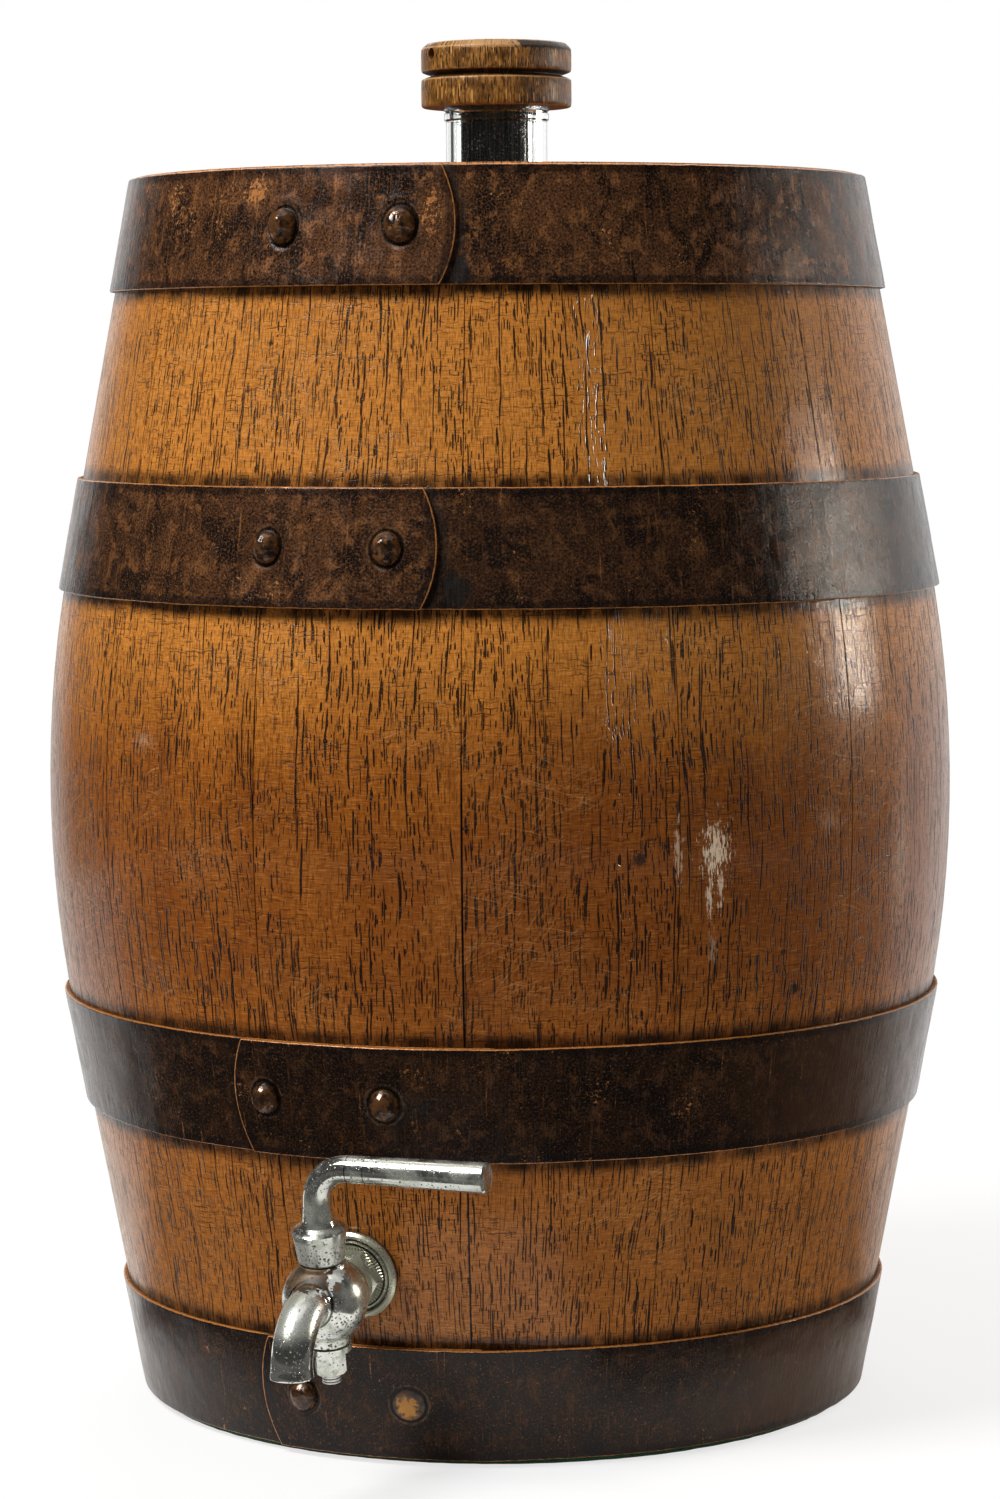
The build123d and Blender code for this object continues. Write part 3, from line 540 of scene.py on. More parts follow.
    # Dirt packed in the lower corner of each upper lap.
    packed = None
    for centre_up in (350.5, 260.0):
        away = g.far((along, up), (56.0, centre_up), (5.0, 7.0)) + mottle * 1.6
        heap = g.step(away, 1.1, 1.9, 0.95, 0.0)
        packed = g.most(packed, heap)
    shade = g.most(shade, packed)
    g.paint(shade, (0.005, 0.003, 0.002))
    height = mottle * 0.5 + grit * 0.45
    height = g.times_plus(brushed, g.times_plus(right, 0.25, 0.4), height)
    height = height - bare * 0.2
    ribs = g.noise((along, up * 0.03, 9.0), 0.55, 2.0)
    normal = g.bump(g.noise(place, 0.09, 2.0), 0.0006, 0.5)
    normal = g.bump(ribs * g.step(along, -95.0, -60.0, 1.0, 0.0), 0.0003, 0.5, normal)
    normal = g.bump(height, 0.00020, 0.8, normal)
    rough = rough + shade * 0.3
    return g.finish(Base_Color=g.colour, Roughness=rough, Metallic=0.20, Normal=normal, IOR=1.5,
                    Specular_IOR_Level=0.28)


def rivet_copper(name):
    """Rivet heads: glossy dark brown, rubbed to warm copper on top, and one worn down to yellow."""
    g = Graph(name)
    along, up, _, _ = round_cask(g)
    worn = g.step(g.noise(g.coordinates, 420.0, 3.0, 0.6), 0.50, 0.66, 0.0, 0.65)
    dark = g.noise(g.coordinates, 260.0, 3.0, 0.6)
    g.colour = g.mix(g.step(dark, 0.4, 0.62), (0.018, 0.009, 0.004), (0.125, 0.052, 0.017))
    g.paint(worn * g.step(up, 100.0, 250.0, 0.35, 1.0), (0.30, 0.115, 0.030))
    ragged = g.noise(g.coordinates, 500.0, 4.0, 0.7) * 2.4
    away = g.far((along, up), (36.8, 18.3), (4.6, 4.6)) + ragged
    flat = g.step(away, 1.70, 2.0, 0.95, 0.0)
    g.paint(flat, (0.50, 0.205, 0.010))
    rough = g.step(g.noise(g.coordinates, 900.0, 3.0), 0.35, 0.7, 0.13, 0.26)
    low_right = g.step(along, 30.0, 31.0) * g.step(up, 60.0, 61.0, 1.0, 0.0)
    rough = rough + low_right * 0.45
    metal = g.step(low_right, 0.4, 0.6, 0.4, 0.0)
    return g.finish(Base_Color=g.colour, Roughness=rough, Metallic=metal,
                    Normal=g.bump(g.noise(g.coordinates, 500.0, 3.0), 0.0004, 0.5),
                    Specular_IOR_Level=0.85)


def chrome(name, kind="plain"):
    """Old chrome plate, a little hazy, with black pits. The body also has brown worn patches."""
    g = Graph(name)
    place = g.coordinates
    point = g.tap_frame()
    x, out, rise = point
    haze = g.noise(place, 130.0, 3.0, 0.6)
    dull = g.step(haze, 0.42, 0.66)
    grain = g.noise(place, 2600.0, 2.0, 0.6)
    g.colour = g.mix(dull, (0.74, 0.75, 0.70), (0.53, 0.55, 0.46))
    metal = g.step(haze, 0.40, 0.64, 0.96, 0.70)
    rough = g.step(haze, 0.38, 0.70, 0.09, 0.25)
    gather = g.noise(place, 90.0, 3.0, 0.6)
    density = g.step(gather, 0.40, 0.66, 0.12, 0.50 if kind == "plain" else 0.75)
    grime_and_groove_shade = None
    crowd = 0.0
    if kind == "body":
        # Pits are dense low on the globe's right, and the globe's crown is worn to brown metal.
        crowd = g.step(g.far(point, (6.0, -28.0, -6.0), (10.0, 9.0, 8.0)), 0.6, 1.4, 0.62, 0.0)
        front = g.step(out, -44.0, -41.0, 1.0, 0.0) * g.step(rise, -15.0, -13.5)
        front = front * g.step(rise, -2.0, 3.0, 1.0, 0.0)
        upper = g.step(out, -39.0, -36.0, 1.0, 0.0) * g.step(rise, -1.0, 3.5)
        metal = g.mix(upper * 0.8, metal, (0.62, 0.62, 0.62))
        rough = g.mix(upper * 0.8, rough, (0.30, 0.30, 0.30))
        metal = g.mix(front, metal, (0.97, 0.97, 0.97))
        rough = g.mix(front, rough, (0.08, 0.08, 0.08))
        coarse = g.noise(place, 170.0, 4.0, 0.72)
        ragged = coarse * 2.2
        left = g.far(point, (-3.5, -29.5, 11.2), (10.0, 8.5, 5.4)) + ragged
        island = g.far(point, (7.6, -31.5, 8.8), (1.7, 2.6, 2.1)) + ragged
        brown = g.most(g.step(left, 1.99, 2.03, 1.0, 0.0), g.step(island, 1.84, 1.88, 1.0, 0.0))
        # Lifted plating round the brown patch's right side, painted near white as a highlight.
        lifted = g.step(left, 2.28, 2.34, 1.0, 0.0) * g.step(x, 1.5, 3.5)
        around = g.length((x, rise - spout_rise))
        near_root = g.step(out, -36.5, -36.0) * g.step(out, -31.0, -30.0, 1.0, 0.0)
        root = g.line(around, 6.75, 0.14, 0.30) * near_root
        neck = g.line(out, globe_radius - 5.5 - tap_reach, 0.22, 0.3)
        brown_metal = g.mix(g.step(coarse, 0.40, 0.62), (0.050, 0.029, 0.013),
                            (0.160, 0.098, 0.048))
        g.paint(lifted, (0.90, 0.91, 0.86))
        metal = g.mix(lifted, metal, (0.45, 0.45, 0.45))
        g.paint(brown, brown_metal)
        metal = g.mix(brown, metal, (0.15, 0.15, 0.15))
        rough = rough + brown * 0.34
        grime_and_groove_shade = g.most(root, neck)
    if kind == "lever":
        # Two thin rings on the arm, painted dark as shade in them, and pits low on the collar.
        rings = g.most(g.line(x, 10.9, 0.10, 0.12), g.line(x, 16.4, 0.09, 0.12))
        grime_and_groove_shade = rings * g.step(rise, 36.0, 37.0)
        crowd = g.step(rise, 14.5, 20.5, 0.75, 0.0)
        matt = g.step(rise, 20.5, 22.0, 1.0, 0.0)
        g.paint(0.5, (0.50, 0.51, 0.46))
        metal = g.mix(matt, metal, (0.62, 0.62, 0.62))
        g.paint(matt * 0.6, (0.52, 0.53, 0.47))
        rough = rough + matt * 0.12
    pitted = None
    for scale, reach, share in ((720.0, 0.27, density), (1250.0, 0.36, density),
                                (980.0, 0.42, crowd)):
        cell = g.cells(place, scale)
        lot, other, _ = g.split(cell.outputs["Color"])
        dot = g.step(cell.outputs["Distance"], other * reach, reach, 1.0, 0.0)
        dot = dot * g.math("LESS_THAN", lot, share)
        pitted = g.most(pitted, dot)
    g.paint(pitted * 0.90, (0.040, 0.040, 0.030))
    metal = g.mix(pitted, metal, (0.2, 0.2, 0.2))
    if kind == "flange":
        g.colour = g.mix(dull, (0.56, 0.56, 0.45), (0.44, 0.44, 0.33))
        metal = g.step(haze, 0.40, 0.64, 0.82, 0.66)
        rough = g.step(haze, 0.38, 0.70, 0.24, 0.36)
        round_shank = g.length((x, rise))
        grime_and_groove_shade = g.most(g.line(round_shank, 11.35, 0.14, 0.25),
                       g.line(round_shank, 9.95, 0.14, 0.25))
    # Painted shade, with grime, darkens the creases and grooves: round the spout's root, at the
    # neck, in the arm's rings and in the flange's grooves.
    if grime_and_groove_shade is not None:
        g.paint(grime_and_groove_shade * 0.9, (0.030, 0.022, 0.013))
    if kind == "sleeve":
        # Painted reflections: the sleeve is coloured with upright light and dark streaks.
        x_up, y_up, z_up = g.split(place)
        around = g.math("ARCTAN2", x_up, y_up * -1.0) * 11.3
        reflection_streaks = g.noise((around, z_up * 20.0), 1.3, 4.0, 0.7)
        g.colour = g.mix(g.step(reflection_streaks, 0.42, 0.62), (0.10, 0.105, 0.11), (0.42, 0.42, 0.41))
        metal = g.step(haze, 0.3, 0.7, 1.0, 0.96)
        rough = g.step(reflection_streaks, 0.3, 0.7, 0.05, 0.12)
    rough = rough + pitted * 0.30
    rough = rough + g.step(grain, 0.40, 0.70, 0.0, 0.06)
    normal = g.bump(g.noise(place, 90.0, 2.0), 0.0004, 0.12)
    fine_height = grain * 0.12 - pitted
    normal = g.bump(fine_height, 0.00006, 0.3 if kind == "flange" else 0.8, normal)
    return g.finish(Base_Color=g.colour, Roughness=rough, Metallic=metal, Normal=normal)


def key_metal(name):
    """The tapered key's brass, and its plated tail, dark in the grooves of its thread."""
    g = Graph(name)
    rise = g.tap_frame()[2]
    spots = g.noise(g.coordinates, 300.0, 4.0, 0.6)
    brass = g.mix(g.step(spots, 0.3, 0.7), (0.40, 0.28, 0.10), (0.62, 0.46, 0.20))
    thread = g.math("PINGPONG", rise, 0.45)
    plated = g.mix(g.step(thread, 0.10, 0.24), (0.035, 0.030, 0.022), (0.66, 0.66, 0.61))
    g.colour = g.mix(g.step(rise, -20.6, -20.4), plated, brass)
    rough = g.step(spots, 0.3, 0.7, 0.22, 0.38)
    return g.finish(Base_Color=g.colour, Roughness=rough, Metallic=0.7,
                    Normal=g.bump(thread, 0.0002, 0.5))


def plain(name, colour, roughness, metallic=0.0, scale=150.0, spread=0.35, depth=0.0003, **more):
    """An even material with mottling and a fine uneven face."""
    g = Graph(name)
    spots = g.noise(g.coordinates, scale, 4.0, 0.6)
    darker = tuple(c * (1 - spread) for c in colour)
    lighter = tuple(min(c * (1 + spread), 1.0) for c in colour)
    shade = g.mix(g.step(spots, 0.3, 0.7), darker, lighter)
    fine = g.noise(g.coordinates, scale * 6, 3.0, 0.6)
    rough = g.step(fine, 0.3, 0.7, max(roughness - 0.08, 0.0), min(roughness + 0.08, 1.0))
    return g.finish(Base_Color=shade, Roughness=rough, Metallic=metallic,
                    Normal=g.bump(fine, depth, 0.6), **more)


def glass(name, tint, roughness=0.02):
    g = Graph(name)
    smear = g.noise(g.coordinates, 60.0, 3.0)
    rough = g.step(smear, 0.4, 0.8, roughness, roughness + 0.05)
    return g.finish(Base_Color=tint, Roughness=rough, IOR=1.47, Transmission_Weight=1.0)


def felt_cloth(name):
    g = Graph(name)
    fluff = g.noise(g.coordinates, 2200.0, 3.0, 0.7)
    patch = g.noise(g.coordinates, 70.0, 3.0)
    g.colour = g.mix(g.step(fluff, 0.3, 0.7), (0.012, 0.085, 0.035), (0.035, 0.20, 0.085))
    g.paint(g.step(patch, 0.4, 0.7, 0.0, 0.4), (0.05, 0.09, 0.05))
    return g.finish(Base_Color=g.colour, Roughness=0.95, Normal=g.bump(fluff, 0.0006, 1.0),
                    Sheen_Weight=0.3)


def turned_oak(name):
    """The stopper's oak: short tan and dark streaks, worn pale at its edges, and pale in front and
    black on the right of the top bevel.
    """
    g = Graph(name)
    x, y, z = g.split(g.coordinates)
    angle = g.math("ARCTAN2", x, y * -1.0)
    turn = angle * stopper_radius
    up = z * 1000.0
    grain = g.noise((turn, up * 0.15), 1.6, 5.0, 0.78)
    patch = g.noise((turn, up), 0.13, 3.0)
    g.colour = g.mix(g.step(grain, 0.38, 0.60), (0.060, 0.0210, 0.0030), (0.340, 0.150, 0.024))
    g.paint(g.step(patch, 0.46, 0.60, 0.0, 0.62), (0.070, 0.027, 0.005))
    streaks = dashes(g, turn, up, 0.9, 6.5, 0.40, 0.30, 4.0)
    g.paint(streaks * 0.80, (0.62, 0.33, 0.095))
    pores = dashes(g, turn, up, 0.9, 5.5, 0.36, 0.55, 1.0)
    g.paint(pores * 0.85, (0.012, 0.005, 0.001))
    # The flat top shows end grain: rings round a far centre, and open pores.
    centre = g.vector(g.times_plus(x, 1000.0, 31.0), g.times_plus(y, 1000.0, -12.0))
    reach = g.times_plus(g.noise(g.coordinates, 60.0, 2.0), 3.0, g.length(centre))
    ring = g.step(g.math("PINGPONG", reach, 1.15), 0.25, 0.95)
    end_grain = g.mix(ring, (0.085, 0.034, 0.007), (0.260, 0.115, 0.026))
    open_pores = g.step(g.cells(g.coordinates, 1500.0).outputs["Distance"], 0.16, 0.27, 0.8, 0.0)
    end_grain = g.mix(open_pores, end_grain, (0.016, 0.007, 0.002))
    on_top = g.step(up, stopper_low + stopper_height - 0.40, stopper_low + stopper_height - 0.22)
    g.paint(on_top, end_grain)
    ragged = g.noise((turn, up), 0.5, 4.0, 0.7) * 1.6
    worn = g.step(g.mark("edge") - ragged, -0.75, -0.30, 1.0, 0.0)
    g.paint(worn * 0.75, (0.50, 0.28, 0.115))
    # Past the bevel's edge the front is painted pale tan and the right side black.
    bevel = g.step(up + ragged * 1.5, stopper_low + stopper_height - 1.6,
                   stopper_low + stopper_height - 1.2)
    bevel = bevel * (1.0 - on_top)
    front = g.step(angle, -0.35, -0.05) * g.step(angle, 0.62, 0.74, 1.0, 0.0)
    edge_of_black = g.times_plus(ragged, 0.45, angle)
    side = g.step(edge_of_black, 0.92, 1.05) * g.step(angle, 1.60, 2.10, 1.0, 0.0)
    g.paint(bevel * front * 0.8, (0.46, 0.25, 0.10))
    g.paint(bevel * side * 0.92, (0.012, 0.009, 0.008))
    # Painted shade in the V groove.
    groove = g.line(up, stopper_low + stopper_groove + 0.1, 0.7, 0.9)
    g.paint(groove * 0.8, (0.020, 0.008, 0.003))
    height = grain * 0.6 - pores
    height = height * (1.0 - on_top)
    return g.finish(Base_Color=g.colour, Roughness=g.step(patch, 0.3, 0.7, 0.46, 0.34),
                    Normal=g.bump(height, 0.0003, 0.9), Specular_IOR_Level=0.25, Coat_Weight=0.12,
                    Coat_Roughness=0.25)


middle_board = frame["nodes"]["top_board_2"].data
board_width = 2000.0 * max(vertex.co.x for vertex in middle_board.vertices)
oak("oak_staves")
board_oak("oak_heads", board_width)
aged_copper("aged_copper")
rivet_copper("aged_copper_rivets")
chrome("tap_chrome")
chrome("body_chrome", "body")
chrome("lever_chrome", "lever")
key_metal("key_brass")
chrome("sleeve_chrome", "sleeve")
chrome("flange_chrome", "flange")
turned_oak("stopper_oak")
glass("tube_glass", (0.97, 0.985, 0.98))
glass("liner_glass", (0.90, 0.96, 0.93), 0.05)
plain("seal_clear", (0.93, 0.94, 0.93), 0.12, spread=0.04, Transmission_Weight=0.95, IOR=1.42)
plain("seal_rubber", (0.018, 0.018, 0.018), 0.55)
plain("cork", (0.40, 0.24, 0.11), 0.8, scale=500.0, spread=0.5, depth=0.0006)
plain("bush_brass", (0.42, 0.29, 0.10), 0.36, 1.0)
plain("machined_brass", (0.55, 0.40, 0.16), 0.26, 1.0)
plain("washer_leather", (0.045, 0.022, 0.011), 0.6, scale=700.0, depth=0.0005)
felt_cloth("green_felt")

# Where a piece's material isn't the one named as its slot
other_names = {"back_brass": "machined_brass"}
other_pieces = {"tap_lever": "lever_chrome", "tap_flange": "flange_chrome",
                "tap_tooth_washer": "flange_chrome", "tap_nut": "flange_chrome"}
for part in frame["record"]["subparts"]:
    node, slot_name = part["node"], part["material_slot"]
    name = other_pieces.get(node, other_names.get(slot_name, slot_name))
    mesh = frame["nodes"][node].data
    mesh.materials.clear()
    mesh.materials.append(materials[name])


# Meshes

def new_object(name, data):
    """A new object in the scene."""
    obj = bpy.data.objects.new(name, data)
    bpy.context.scene.collection.objects.link(obj)
    return obj


def round_point(angle, reach, z):
    """A point at a distance from the cask's axis, with its angle in radians from the front."""
    return math.sin(angle) * reach, -math.cos(angle) * reach, z


def mend(mesh, merge=0.0):
    """Joins points that lie closer than a distance, and turns all faces outwards."""
    bm = bmesh.new()
    bm.from_mesh(mesh)
    if merge:
        bmesh.ops.remove_doubles(bm, verts=bm.verts, dist=merge)
    bmesh.ops.recalc_face_normals(bm, faces=bm.faces)
    bm.to_mesh(mesh)
    bm.free()


def round_faces(first, rings, count):
    """Four-sided faces between rings of points that follow each other."""
    faces = []
    for ring in range(rings - 1):
        a, b = first + ring * count, first + (ring + 1) * count
        for i in range(count):
            j = (i + 1) % count
            faces.append((a + i, a + j, b + j, b + i))
    return faces


def make_object(name, vertices, faces, body, node, slot_name):
    """A new piece in the row frame, from vertices in millimetres, that stands for a CAD node."""
    mesh = bpy.data.meshes.new(name)
    mesh.from_pydata([(x * MM, y * MM, z * MM) for x, y, z in vertices], [], faces)
    mesh.validate()
    mend(mesh)
    mesh.shade_smooth()
    mesh.materials.append(materials[slot_name])
    obj = new_object(name, mesh)
    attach(obj, body)
    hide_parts(node)
    return obj


def fix_modifiers(obj):
    """Makes what an object's modifiers show its own mesh."""
    bpy.context.view_layer.update()
    shown = obj.evaluated_get(bpy.context.evaluated_depsgraph_get())
    obj.data = bpy.data.meshes.new_from_object(shown)
    obj.modifiers.clear()


def keep_numbers(obj, name, values):
    """Stores a number for each vertex, which a material can read."""
    layer = obj.data.attributes.new(name, "FLOAT", "POINT")
    layer.data.foreach_set("value", values)


class Hoop:
    """Where a hoop lies, which way it laps and where its rivets are."""

    def __init__(self, name, low, side, end_angle, rivet_angles, heads):
        self.name = name
        self.low = low
        self.high = low + hoop_width
        self.side = side
        self.end_angle = end_angle
        self.rivet_angles = rivet_angles
        self.heads = heads          # each head's half width, half height and how far it stands out
        self.tilt = math.atan2(shell_radius(self.low) - shell_radius(self.high), hoop_width)
        self.wall = hoop_thickness / math.cos(self.tilt)
        self.middle = (self.low + self.high) / 2
        self.radius = shell_radius(self.middle)


hoops = [
    Hoop("top_end", top_low, 1, 14.8, (-10.7, 6.9), ((4.3, 5.4, 4.8), (4.7, 5.4, 4.8))),
    Hoop("top_bulge", top_low - hoop_rise, 1, 13.1, (-8.8, 6.8),
         ((4.2, 4.9, 4.1), (4.4, 4.9, 3.9))),
    Hoop("foot_bulge", foot_low + hoop_rise, -1, -14.5, (6.0, -9.8),
         ((4.5, 4.9, 3.7), (4.2, 4.9, 4.1))),
    Hoop("foot_end", foot_low, -1, -16.6, (6.9, -9.3), ((4.9, 4.9, 0.8), (4.4, 4.9, 4.1))),
]


def steps_between(low, high, step):
    count = max(1, round((high - low) / step))
    return [low + (high - low) * i / count for i in range(count)]


def make_hoop(hoop, seed):
    """The band as one strip: flat start, round the cask, a climb and the riveted outer end."""
    total = 360.0 + lap_length
    fine_from = 346.0           # degrees swept where the points get closer, before the climb
    end_zone = 14.0             # the last degrees, drawn back to round the outer end
    far_away = 100.0
    sweeps = steps_between(0.0, fine_from, 0.6) + steps_between(fine_from, total - 4.0, 0.26)
    sweeps += steps_between(total - 4.0, total, 0.12) + [total]
    edge_round = 0.45
    near_edge = [0.0, 0.12, 0.28, edge_round, edge_round + 0.35, edge_round + 0.9]
    outer = near_edge + steps_between(2.0, 8.0, 1.0)
    outer += steps_between(8.0, hoop_width - 8.0, 0.55)
    outer += steps_between(hoop_width - 8.0, hoop_width - 2.0, 1.0) + [hoop_width - 2.0]
    outer += [hoop_width - up for up in reversed(near_edge)]
    start = hoop.end_angle * hoop.side - lap_length
    raised = hoop.wall + lap_gap
    end_angle = hoop.end_angle * hoop.side
    low_radius, high_radius = shell_radius(hoop.low), shell_radius(hoop.high)
    degree = math.radians(1) * hoop.radius
    rivets = [angle * hoop.side for angle in hoop.rivet_angles]
    vertices, edges, shades, rings = [], [], [], []
    ring_size = len(outer) + 2
    for sweep in sweeps:
        lift = smooth(sweep, 360.0 - lap_climb, 360.0) * raised
        for index in range(ring_size):
            if index < len(outer):
                up = outer[index]
                near = min(up, hoop_width - up)
                proud = hoop.wall
                if near < edge_round:
                    short = 1 - near / edge_round
                    proud -= edge_round * (1 - math.sqrt(max(0.0, 1 - short ** 2)))
            else:
                up = hoop_width if index == len(outer) else 0.0
                near, proud = 0.0, 0.0
            half = up - hoop_width / 2
            sagitta = lap_end_radius - math.sqrt(lap_end_radius ** 2 - half ** 2) + lap_end_trim
            back = math.degrees(sagitta / hoop.radius)
            place = sweep
            if sweep > total - end_zone:
                into_zone = sweep - total + end_zone
                place = total - end_zone + into_zone * (end_zone - back) / end_zone
            angle = start + place
            z = hoop.low + up
            from_end = (total - back - place) * degree
            turn = (angle + 180.0) % 360.0 - 180.0
            # Dents round the rivets, and the unevenness of old hammered metal.
            dent, ring = 0.0, far_away
            if sweep > fine_from:
                for rivet, (half_wide, half_tall, _) in zip(rivets, hoop.heads):
                    level = (up - hoop_width / 2) * half_wide / half_tall
                    away = math.hypot((turn - rivet) * degree, level)
                    ring = min(ring, away - half_wide)
            rings.append(ring)
            if proud > 0 and ring < 6.0:
                dent -= 0.14 * math.exp(-((ring - 0.5) / 0.55) ** 2)
                dent += 0.10 * math.exp(-((ring - 1.8) / 0.9) ** 2)
            if proud > 0:
                a = math.radians(angle)
                spot = Vector((math.sin(a) * 9, math.cos(a) * 9, z * 0.07 + seed))
                wave = noise.noise(spot) * 0.14 + noise.noise(spot * 3.1) * 0.04
                dent += wave * smooth(near, 0.0, 3.0)
            radius = low_radius + (high_radius - low_radius) * up / hoop_width
            radius += hoop_clearance + lift + proud + dent
            side_angle = math.radians(angle) * hoop.side
            if near < 0.3 and proud > 0:
                nick = noise.noise(Vector((angle * 0.35, seed, 0.0))) * 0.12
                z += nick * (1 if up < hoop_width / 2 else -1)
            vertices.append(round_point(side_angle, radius, z))
            edges.append(min(near, max(from_end, 0.0)) if sweep > 360 else near)
            beyond = (turn - end_angle) * degree + sagitta
            shade = smooth(beyond, 5.0, 0.3) if (sweep < 60 and 0 < beyond) else 0.0
            shades.append(shade * 0.85)
    faces = []
    for i in range(len(sweeps) - 1):
        for j in range(ring_size):
            k = (j + 1) % ring_size
            a, b = i * ring_size, (i + 1) * ring_size
            faces.append((a + j, a + k, b + k, b + j))
    faces.append(tuple(range(ring_size)))
    # The rounded outer end: a strip from the face down to the layer below, then the underside.
    last, count = (len(sweeps) - 1) * ring_size, len(outer)
    under = [last + count + 1]
    for index in range(1, count - 1):
        x, y, z = vertices[last + index]
        inward = 1 - hoop.wall / math.hypot(x, y)
        under.append(len(vertices))
        vertices.append((x * inward, y * inward, z))
        edges.append(0.0)
        shades.append(0.0)
        rings.append(far_away)
    under.append(last + count)
    for index in range(count - 1):
        faces.append((last + index, last + index + 1, under[index + 1], under[index]))
    faces.append(tuple(under))
    obj = make_object("hoop_band_" + hoop.name, vertices, faces, "cask", "hoop_" + hoop.name,
                      "aged_copper")
    keep_numbers(obj, "edge", edges)
    keep_numbers(obj, "shade", shades)
    keep_numbers(obj, "ring", rings)


def make_rivets(hoop, seed):
    """Two oval, hand-closed heads with a short shank each."""
    rings, around = 22, 56
    shank_radius, shank_length = 2.2, 3.2
    vertices, faces = [], []
    face = hoop.radius + hoop_clearance + 2 * hoop.wall + lap_gap + 0.03
    for number, (half_wide, half_tall, height) in enumerate(hoop.heads):
        turn = math.radians(hoop.rivet_angles[number])
        first = len(vertices)
        profile = [("shank", -shank_length), ("shank", 0.0), ("head", 1.0)]
        profile += [("head", 1 - (i / rings) ** 1.7) for i in range(1, rings)]
        for kind, value in profile:
            for i in range(around):
                a = 2 * math.pi * i / around
                if kind == "shank":
                    side, rise = shank_radius * math.cos(a), shank_radius * math.sin(a)
                    stand = value
                else:
                    side, rise = half_wide * value * math.cos(a), half_tall * value * math.sin(a)
                    stand = height * max(0.0, 1 - value ** 2.5) ** 0.60
                    spot = Vector((side * 0.35, rise * 0.35, seed + number * 7.0))
                    uneven = noise.noise(spot) * 0.45 + noise.noise(spot * 3.3) * 0.12
                    uneven = uneven * smooth(stand, 0.2, height * 0.9) * min(1.0, height / 3.0)
                    stand = max(stand + uneven, 0.0)
                vertices.append(on_hoop(hoop, face, turn, side, rise, stand))
        tip = len(vertices)
        vertices.append(on_hoop(hoop, face, turn, 0.0, 0.0, height * 0.99))
        foot = len(vertices)
        vertices.append(on_hoop(hoop, face, turn, 0.0, 0.0, -shank_length))
        faces += round_faces(first, len(profile), around)
        last = first + (len(profile) - 1) * around
        for i in range(around):
            j = (i + 1) % around
            faces.append((last + i, last + j, tip))
            faces.append((first + j, first + i, foot))
    make_object("rivet_heads_" + hoop.name, vertices, faces, "cask", "rivets_" + hoop.name,
                "aged_copper_rivets")


def on_hoop(hoop, face, turn, side, rise, stand):
    """A point beside, above and out from a rivet's place on the hoop's face."""
    outward = stand * math.cos(hoop.tilt) - rise * math.sin(hoop.tilt)
    z = hoop.middle + rise * math.cos(hoop.tilt) + stand * math.sin(hoop.tilt)
    radius = face + outward
    return (radius * math.sin(turn) + side * math.cos(turn),
            -radius * math.cos(turn) + side * math.sin(turn), z)


for number, hoop in enumerate(hoops):
    make_hoop(hoop, 11.0 + number * 5.3)
    make_rivets(hoop, 3.0 + number * 2.1)


# Staves

def make_staves():
    """Each stave, shaded with the cask's true curve so that light runs evenly over the seams."""
    for number in range(1, stave_count + 1):
        node = "stave_%02d" % number
        mesh = frame["nodes"][node].data.copy()
        normals = [None] * len(mesh.loops)
        for face in mesh.polygons:
            for loop in face.loop_indices:
                x, y, z = mesh.vertices[mesh.loops[loop].vertex_index].co / MM
                reach = math.hypot(x, y)
                slope = shell_radius(z + 0.5) - shell_radius(z - 0.5)
                true = Vector((x / reach, y / reach, -slope)).normalized()
                on_face = abs(reach - shell_radius(z)) < 0.7 and face.normal.dot(true) > 0.5
                normals[loop] = true if on_face else face.normal.copy()
        mesh.shade_smooth()
        mesh.normals_split_custom_set(normals)
        stave = new_object("oak_" + node, mesh)
        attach(stave, "cask")
        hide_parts(node)


make_staves()


# Felt pad

def make_felt():
    """A disc of pressed felt with a soft, uneven edge."""
    radius, thickness, count = 111.8, 1.5, 360
    vertices = [(0.0, 0.0, thickness)]
    faces = []
    profile = [(r, thickness - 0.02) for r in (60.0, 100.0, 108.0, 110.5, radius - 0.7)]
    profile += [(radius - 0.3, thickness - 0.25), (radius, thickness / 2), (radius - 0.3, 0.12),
                (radius - 1.2, 0.02)]
    for level, (r, z) in enumerate(profile):
        for i in range(count):
            angle = 2 * math.pi * i / count
            spot = Vector((math.cos(angle) * 30, math.sin(angle) * 30, level * 0.4))
            ragged = noise.noise(spot) * 0.35
            reach = min(r + (ragged if r > 109 else 0.0), radius)
            vertices.append(round_point(angle, reach, z))
    for i in range(count):
        faces.append((0, 1 + i, 1 + (i + 1) % count))
    faces += round_faces(1, len(profile), count)
    faces.append(tuple(1 + (len(profile) - 1) * count + i for i in range(count)))
    pad = make_object("felt_disc", vertices, faces, "cask", "felt_pad", "green_felt")


make_felt()


# Stopper

